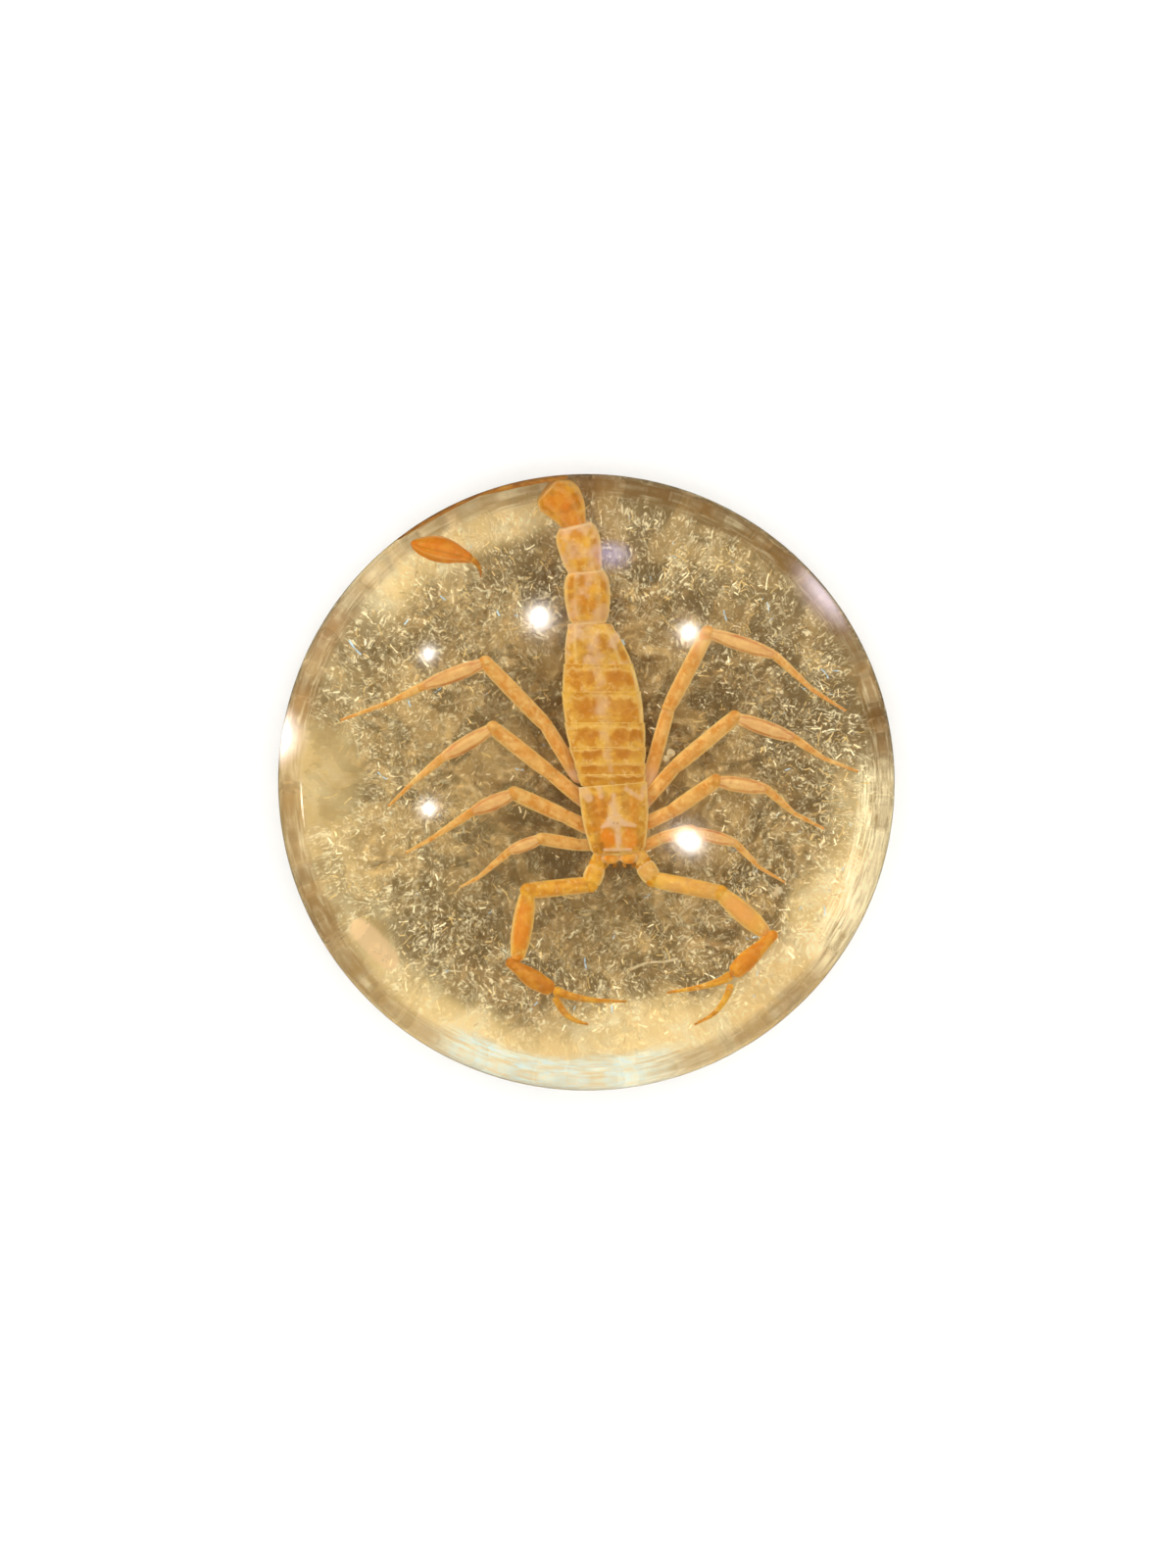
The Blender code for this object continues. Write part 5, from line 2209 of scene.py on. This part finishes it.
@dataclass
class FilmFlakes:
    """Small bent flakes of metal leaf strewn over the film."""

    per_square_metre: float = 8.0e6
    length: float = 1.00
    width: float = 0.085
    bend: float = 0.05
    tilt: float = 0.28
    curl: float = 0.22
    seed: int = 11

    def build(self, film: bpy.types.Mesh, finish: FlakeFinish) -> None:
        """Builds the flakes and puts them into the frame.

        Args:
            film: The film's mesh, on which they lie.
            finish: Their finish.
        """
        material = finish.material()
        tree = GeometryTree(
            "metal_flakes",
            {
                "Density": self.per_square_metre,
                "Length": self.length * MM,
                "Width": self.width * MM,
                "Bend": self.bend * MM,
                "Curl": self.curl * self.length * MM,
                "Tilt": self.tilt,
                "Seed": self.seed,
            },
            takes_mesh=True,
        )
        tree.finish(self.strewn(tree), material)
        flakes = tree.run(film.copy())
        put_in_frame(flakes, material)

    @staticmethod
    def strewn(tree: GeometryTree) -> bpy.types.NodeSocket:
        """Strews bent strips over the film where it is painted for them.

        Args:
            tree: The tree that it is built in.

        Returns:
            The instances' socket.
        """
        graph = tree.graph
        painted = graph.add("GeometryNodeInputNamedAttribute", {"Name": "strewn"}, data_type="FLOAT")
        clumps = graph.noise(graph.add("GeometryNodeInputPosition").outputs[0], 420.0, 3.0)
        thick = graph.span(clumps, 0.42, 0.68, 0.20, 1.0)
        density = graph.math("MULTIPLY", painted.outputs[0], graph.math("MULTIPLY", thick, tree.number("Density")))
        points = graph.add(
            "GeometryNodeDistributePointsOnFaces",
            {"Mesh": tree.start.outputs["Geometry"], "Density": density, "Seed": tree.number("Seed")},
            distribute_method="RANDOM",
        )
        strip = graph.add(
            "GeometryNodeMeshGrid",
            {"Size X": tree.number("Length"), "Size Y": tree.number("Width"), "Vertices X": 5, "Vertices Y": 2},
        )
        place = graph.add("ShaderNodeSeparateXYZ", {0: graph.add("GeometryNodeInputPosition").outputs[0]})
        share = graph.math("DIVIDE", place.outputs[0], tree.number("Length"))
        hump = graph.math("MULTIPLY", graph.math("MULTIPLY", share, share), tree.number("Bend"))
        arc = graph.math("MULTIPLY", graph.math("MULTIPLY", share, share), tree.number("Curl"))
        offset = graph.add("ShaderNodeCombineXYZ", {1: arc, 2: graph.math("MULTIPLY", hump, 4.0)})
        bent = graph.add("GeometryNodeSetPosition", {"Geometry": strip.outputs[0], "Offset": offset.outputs[0]})
        tilt = tree.number("Tilt")
        back = graph.math("MULTIPLY", tilt, -1.0)
        low = graph.add("ShaderNodeCombineXYZ", {0: back, 1: back, 2: 0.0})
        high = graph.add("ShaderNodeCombineXYZ", {0: tilt, 1: tilt, 2: 2.0 * math.pi})
        turn = graph.add(
            "FunctionNodeRandomValue",
            {0: low.outputs[0], 1: high.outputs[0], "Seed": tree.number("Seed")},
            data_type="FLOAT_VECTOR",
        )
        first = graph.add("FunctionNodeRandomValue", {2: 0.3, 3: 1.15, "Seed": 5}, data_type="FLOAT")
        second = graph.add("FunctionNodeRandomValue", {2: 0.35, 3: 1.15, "Seed": 6}, data_type="FLOAT")
        size = graph.math("MULTIPLY", first.outputs[1], second.outputs[1])
        placed = graph.add(
            "GeometryNodeInstanceOnPoints",
            {
                "Points": points.outputs["Points"],
                "Instance": bent.outputs[0],
                "Rotation": turn.outputs[0],
                "Scale": size,
            },
        )
        tone = graph.add("FunctionNodeRandomValue", {2: 0.0, 3: 1.0, "Seed": 9}, data_type="FLOAT")
        return graph.add(
            "GeometryNodeStoreNamedAttribute",
            {"Geometry": placed.outputs[0], "Name": "tone", "Value": tone.outputs[1]},
            data_type="FLOAT",
            domain="INSTANCE",
        ).outputs[0]


@dataclass
class BodyHairs:
    """Fine bristles on the legs, claws and tail."""

    per_square_metre: float = 1.6e6
    length: float = 0.55
    thickness: float = 0.014
    lean: float = 0.7
    seed: int = 3

    def build(self, body: Patch, finish: FibreFinish) -> None:
        """Builds the bristles and puts them into the frame.

        Args:
            body: The scorpion's whole form.
            finish: Their finish.
        """
        material = finish.material()
        tree = GeometryTree(
            "body_hairs",
            {
                "Density": self.per_square_metre,
                "Length": self.length * MM,
                "Thickness": self.thickness * MM,
                "Lean": self.lean,
                "Seed": self.seed,
            },
            takes_mesh=True,
        )
        tree.finish(self.grown(tree), material)
        hairs = tree.run(mesh_of("hair_base", body))
        put_in_frame(hairs, material)

    @staticmethod
    def grown(tree: GeometryTree) -> bpy.types.NodeSocket:
        """Grows thin cones out of the painted parts of the body.

        Args:
            tree: The tree that it is built in.

        Returns:
            The instances' socket.
        """
        graph = tree.graph
        painted = graph.add("GeometryNodeInputNamedAttribute", {"Name": Mark.HAIR.value}, data_type="FLOAT")
        density = graph.math("MULTIPLY", painted.outputs[0], tree.number("Density"))
        points = graph.add(
            "GeometryNodeDistributePointsOnFaces",
            {"Mesh": tree.start.outputs["Geometry"], "Density": density, "Seed": tree.number("Seed")},
            distribute_method="RANDOM",
        )
        cone = graph.add(
            "GeometryNodeMeshCone",
            {
                "Vertices": 3,
                "Radius Top": 0.000001,
                "Radius Bottom": tree.number("Thickness"),
                "Depth": tree.number("Length"),
            },
        )
        lean = tree.number("Lean")
        back = graph.math("MULTIPLY", lean, -1.0)
        low = graph.add("ShaderNodeCombineXYZ", {0: back, 1: back, 2: 0.0})
        high = graph.add("ShaderNodeCombineXYZ", {0: lean, 1: lean, 2: 2.0 * math.pi})
        turn = graph.add(
            "FunctionNodeRandomValue",
            {0: low.outputs[0], 1: high.outputs[0], "Seed": tree.number("Seed")},
            data_type="FLOAT_VECTOR",
        )
        rotation = graph.add(
            "FunctionNodeRotateRotation",
            {"Rotation": points.outputs["Rotation"], "Rotate By": turn.outputs[0]},
            rotation_space="LOCAL",
        )
        size = graph.add("FunctionNodeRandomValue", {2: 0.5, 3: 1.3, "Seed": 4}, data_type="FLOAT")
        return graph.add(
            "GeometryNodeInstanceOnPoints",
            {
                "Points": points.outputs["Points"],
                "Instance": cone.outputs[0],
                "Rotation": rotation.outputs[0],
                "Scale": size.outputs[1],
            },
        ).outputs[0]


@dataclass
class StrayBits:
    """Loose threads and crumbs that were cast in with the animal."""

    threads: tuple[tuple[Point, ...], ...] = (
        ((3.7, -16.2, 4.0), (5.2, -15.6, 4.2), (6.6, -15.5, 4.1), (7.9, -15.2, 4.0)),
        ((8.0, -11.6, 5.0), (8.8, -10.9, 5.1), (9.7, -10.4, 5.0)),
    )
    thread_size: float = 0.11
    crumbs: tuple[tuple[Point, float], ...] = (
        ((7.45, 2.45, 8.6), 0.36),
        ((7.05, 1.95, 8.5), 0.28),
        ((16.9, -9.6, 7.6), 0.34),
        ((16.6, -9.9, 7.5), 0.26),
    )

    def build(self, finish: FibreFinish) -> None:
        """Builds the bits and puts them into the frame.

        Args:
            finish: Their finish.
        """
        patches = [
            Loft(
                [Station(place, self.thread_size, self.thread_size, self.thread_size) for place in thread],
                rings=30,
                sides=8,
                start_round=0.1,
                end_round=0.1,
            ).patch()
            for thread in self.threads
        ]
        for (x, y, z), size in self.crumbs:
            lump = Loft(
                [Station((x - size, y, z), size, size * 0.8, size * 0.8),
                 Station((x, y + 0.1, z), size * 1.1, size, size * 0.8),
                 Station((x + size, y, z), size * 0.9, size * 0.7, size)],
                rings=16,
                sides=16,
                start_round=size,
                end_round=size * 0.9,
                relief=lambda surface: 0.06 * np.sin(surface.x * 19.0) * np.cos(surface.y * 23.0),
            )
            patches.append(lump.patch())
        bits = add_object("stray_bits", mesh_of("stray_bits", join_patches(patches)))
        put_in_frame(bits, finish.material())


@dataclass(frozen=True)
class Lamp:
    """A lamp placed so that the dome mirrors it, as a round spot, at a pixel of the photograph."""

    pixel: Plan
    diameter: float
    glow: float
    tint: tuple[float, float, float] = (1.0, 0.97, 0.93)
    falloff: float = 7.0


@dataclass(frozen=True)
class LowCard:
    """A bright card that lies just off the floor, where the steep side of the dome mirrors it."""

    pixel: Plan
    size: Plan
    glow: float
    tint: tuple[float, float, float] = (1.0, 1.0, 1.0)
    height: float = 2.0
    falloff: float = 1.5


CARDS = (
    LowCard((295.0, 753.0), (11.0, 42.0), 9.0, (1.0, 0.90, 0.88)),
    LowCard((308.0, 820.0), (26.0, 4.0), 40.0, (1.0, 0.92, 0.84)),
    LowCard((836.0, 610.0), (20.0, 44.0), 6.0, (0.92, 0.84, 1.0)),
)

LAMPS = (
    Lamp((550.0, 630.0), 0.36, 110.0),
    Lamp((703.0, 645.0), 0.29, 105.0),
    Lamp((437.0, 667.0), 0.25, 90.0),
    Lamp((437.0, 825.0), 0.24, 90.0),
    Lamp((703.0, 858.0), 0.33, 120.0),
    Lamp((625.0, 565.0), 0.25, 16.0, (0.20, 0.32, 1.0), 0.8),
)


@dataclass
class Studio:
    """The camera, the pale floor and plain soft light."""

    image: tuple[int, int] = (1200, 1600)
    camera_place: Point = (0.162, -0.171, 309.75)
    lens: float = 70.857
    sensor: float = 36.0
    lamp_distance: float = 1.0

    def add_camera(self) -> None:
        """Adds the camera, which looks straight down."""
        data = bpy.data.cameras.new("camera")
        data.lens = self.lens
        data.sensor_width = self.sensor
        data.clip_start = 0.01
        camera = bpy.data.objects.new("camera", data)
        camera.location = Vector(self.camera_place) * MM
        bpy.context.scene.collection.objects.link(camera)
        bpy.context.scene.camera = camera

    def add_floor(self, finish: FloorFinish) -> None:
        """Adds the floor that the puck rests on, which the dome doesn't mirror.

        Args:
            finish: Its finish.
        """
        half = 1500.0
        corners = np.array([(-half, -half, 0.0), (half, -half, 0.0), (half, half, 0.0), (-half, half, 0.0)])
        floor = add_object("floor", mesh_of("floor", Patch(corners, [(0, 1, 2, 3)])))
        floor.data.materials.append(finish.material())
        floor.visible_glossy = False

    def add_sky(self) -> None:
        """Adds soft light from all round: dimmer overhead, and brightest towards the tail's side."""
        world = bpy.data.worlds.new("soft_room")
        bpy.context.scene.world = world
        world.use_nodes = True
        world.cycles.sampling_method = "NONE"
        world.node_tree.nodes.clear()
        graph = Graph(world.node_tree)
        way = graph.add("ShaderNodeTexCoord").outputs["Generated"]
        place = graph.add("ShaderNodeSeparateXYZ", {0: way})
        ring = graph.span(place.outputs[2], 0.94, 0.74)
        lean = graph.math("MULTIPLY", place.outputs[0], 0.45)
        toward = graph.math("MULTIPLY_ADD", place.outputs[1], 0.89, lean)
        behind = graph.math("MULTIPLY", graph.span(toward, -0.1, 0.6), ring)
        strength = graph.math("MULTIPLY_ADD", ring, 0.12, 0.22)
        strength = graph.math("MULTIPLY_ADD", behind, 0.25, strength)
        strength = graph.math("MULTIPLY", strength, graph.span(place.outputs[2], -0.15, 0.20, 0.12, 1.0))
        looked_at = graph.add("ShaderNodeLightPath").outputs["Is Camera Ray"]
        strength = graph.span(looked_at, 0.0, 1.0, strength, 0.92)
        background = graph.add("ShaderNodeBackground", {"Color": (1.0, 0.985, 0.95, 1.0), "Strength": strength})
        graph.add("ShaderNodeOutputWorld", {"Surface": background.outputs[0]})

    def mirror_ray(self, pixel: Plan) -> tuple[Vector, Vector]:
        """Follows the sight line of a pixel to the dome and off it.

        Args:
            pixel: The pixel in the photograph.

        Returns:
            The place on the dome in millimetres, and the way that the mirrored ray runs.
        """
        wide, high = self.image
        per_pixel = self.sensor / max(self.image) / self.lens
        ray = Vector(((pixel[0] - wide / 2) * per_pixel, (high / 2 - pixel[1]) * per_pixel, -1.0)).normalized()
        start = Vector(self.camera_place) - Vector((0.0, 0.0, WALL_TOP))
        scale = Vector((1 / PUCK_RADIUS, 1 / PUCK_RADIUS, 1 / DOME_RISE))
        near, run = start * scale, ray * scale
        a, b, c = run.dot(run), near.dot(run), near.dot(near) - 1.0
        hit = start + ray * ((-b - math.sqrt(b * b - a * c)) / a)
        normal = (hit * scale * scale).normalized()
        return hit + Vector((0.0, 0.0, WALL_TOP)), ray.reflect(normal)

    def add_lamps(self) -> None:
        """Adds the lamps that the dome mirrors, which show only in reflections."""
        for number, lamp in enumerate(LAMPS, start=1):
            place, way = self.mirror_ray(lamp.pixel)
            light = bpy.data.lights.new(f"lamp_{number}", "AREA")
            light.shape = "ELLIPSE"
            light.size = lamp.diameter * 0.82
            light.size_y = lamp.diameter * 1.22
            light.energy = lamp.glow * math.pi**2 * (lamp.diameter / 2) ** 2
            light.color = lamp.tint
            self.soften(light, lamp.falloff)
            thing = bpy.data.objects.new(light.name, light)
            thing.location = place * MM + way * self.lamp_distance
            thing.rotation_mode = "QUATERNION"
            thing.rotation_quaternion = (-way).to_track_quat("-Z", "Y")
            thing.visible_transmission = False
            thing.visible_diffuse = False
            bpy.context.scene.collection.objects.link(thing)

    def add_cards(self) -> None:
        """Adds the low cards, which show only in reflections."""
        for number, card in enumerate(CARDS, start=1):
            place, way = self.mirror_ray(card.pixel)
            light = bpy.data.lights.new(f"card_{number}", "AREA")
            light.shape = "ELLIPSE"
            light.size = card.size[0] * MM
            light.size_y = card.size[1] * MM
            light.energy = card.glow * math.pi**2 * light.size * light.size_y / 4
            light.color = card.tint
            self.soften(light, card.falloff)
            thing = bpy.data.objects.new(light.name, light)
            distance = (place.z - card.height) / -way.z
            thing.location = (place + way * distance) * MM
            thing.rotation_mode = "QUATERNION"
            thing.rotation_quaternion = (-way).to_track_quat("-Z", "Y")
            thing.visible_transmission = False
            thing.visible_camera = False
            thing.visible_diffuse = False
            bpy.context.scene.collection.objects.link(thing)

    @staticmethod
    def soften(light: bpy.types.Light, falloff: float) -> None:
        """Makes a lamp brightest at its middle and fade to its edge.

        Args:
            light: The lamp.
            falloff: How fast it fades.
        """
        light.use_nodes = True
        light.node_tree.nodes.clear()
        graph = Graph(light.node_tree)
        place = graph.add("ShaderNodeNewGeometry").outputs["Parametric"]
        middle = graph.add("ShaderNodeVectorMath", {0: place, 1: (0.5, 0.5, 0.0)}, operation="DISTANCE")
        share = graph.span(middle.outputs["Value"], 0.5, 0.0)
        halo = graph.math("MULTIPLY", graph.math("POWER", share, 1.5), 0.10)
        fade = graph.math("ADD", graph.math("POWER", share, falloff), halo)
        emission = graph.add("ShaderNodeEmission", {"Strength": fade})
        graph.add("ShaderNodeOutputLight", {"Surface": emission.outputs[0]})

    def add_fill(self) -> None:
        """Adds a large soft light overhead that brightens the floor and the animal without showing."""
        light = bpy.data.lights.new("fill", "AREA")
        light.shape = "SQUARE"
        light.size = 1.6
        light.energy = 46.0
        thing = bpy.data.objects.new("fill", light)
        thing.location = (0.0, 0.0, 1.5)
        thing.visible_glossy = False
        thing.visible_transmission = False
        thing.visible_camera = False
        bpy.context.scene.collection.objects.link(thing)

    def build(self) -> None:
        """Builds the floor and the light."""
        self.add_floor(FloorFinish())
        self.add_sky()
        self.add_lamps()
        self.add_cards()
        self.add_fill()
        bpy.context.scene.view_settings.view_transform = "Standard"


def main() -> None:
    """Builds the puck, the animal and the studio."""
    logging.basicConfig(level=logging.INFO, format="%(name)s: %(message)s")
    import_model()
    studio = Studio()
    studio.add_camera()
    groups = SharedGroups()
    animal = Scorpion(groups)
    animal.build()
    ResinPuck().build(ResinFinish())
    film = GoldFilm().build(FilmFinish(), groups)
    FilmFlakes().build(film, FlakeFinish())
    hair = FibreFinish("shell_hair", paint_colour(214, 150, 80), paint_colour(240, 205, 150))
    BodyHairs().build(join_patches(animal.forms), hair)
    StrayBits().build(FibreFinish("pale_thread", paint_colour(214, 190, 140), paint_colour(242, 226, 190)))
    studio.build()


if __name__ == "__main__":
    main()
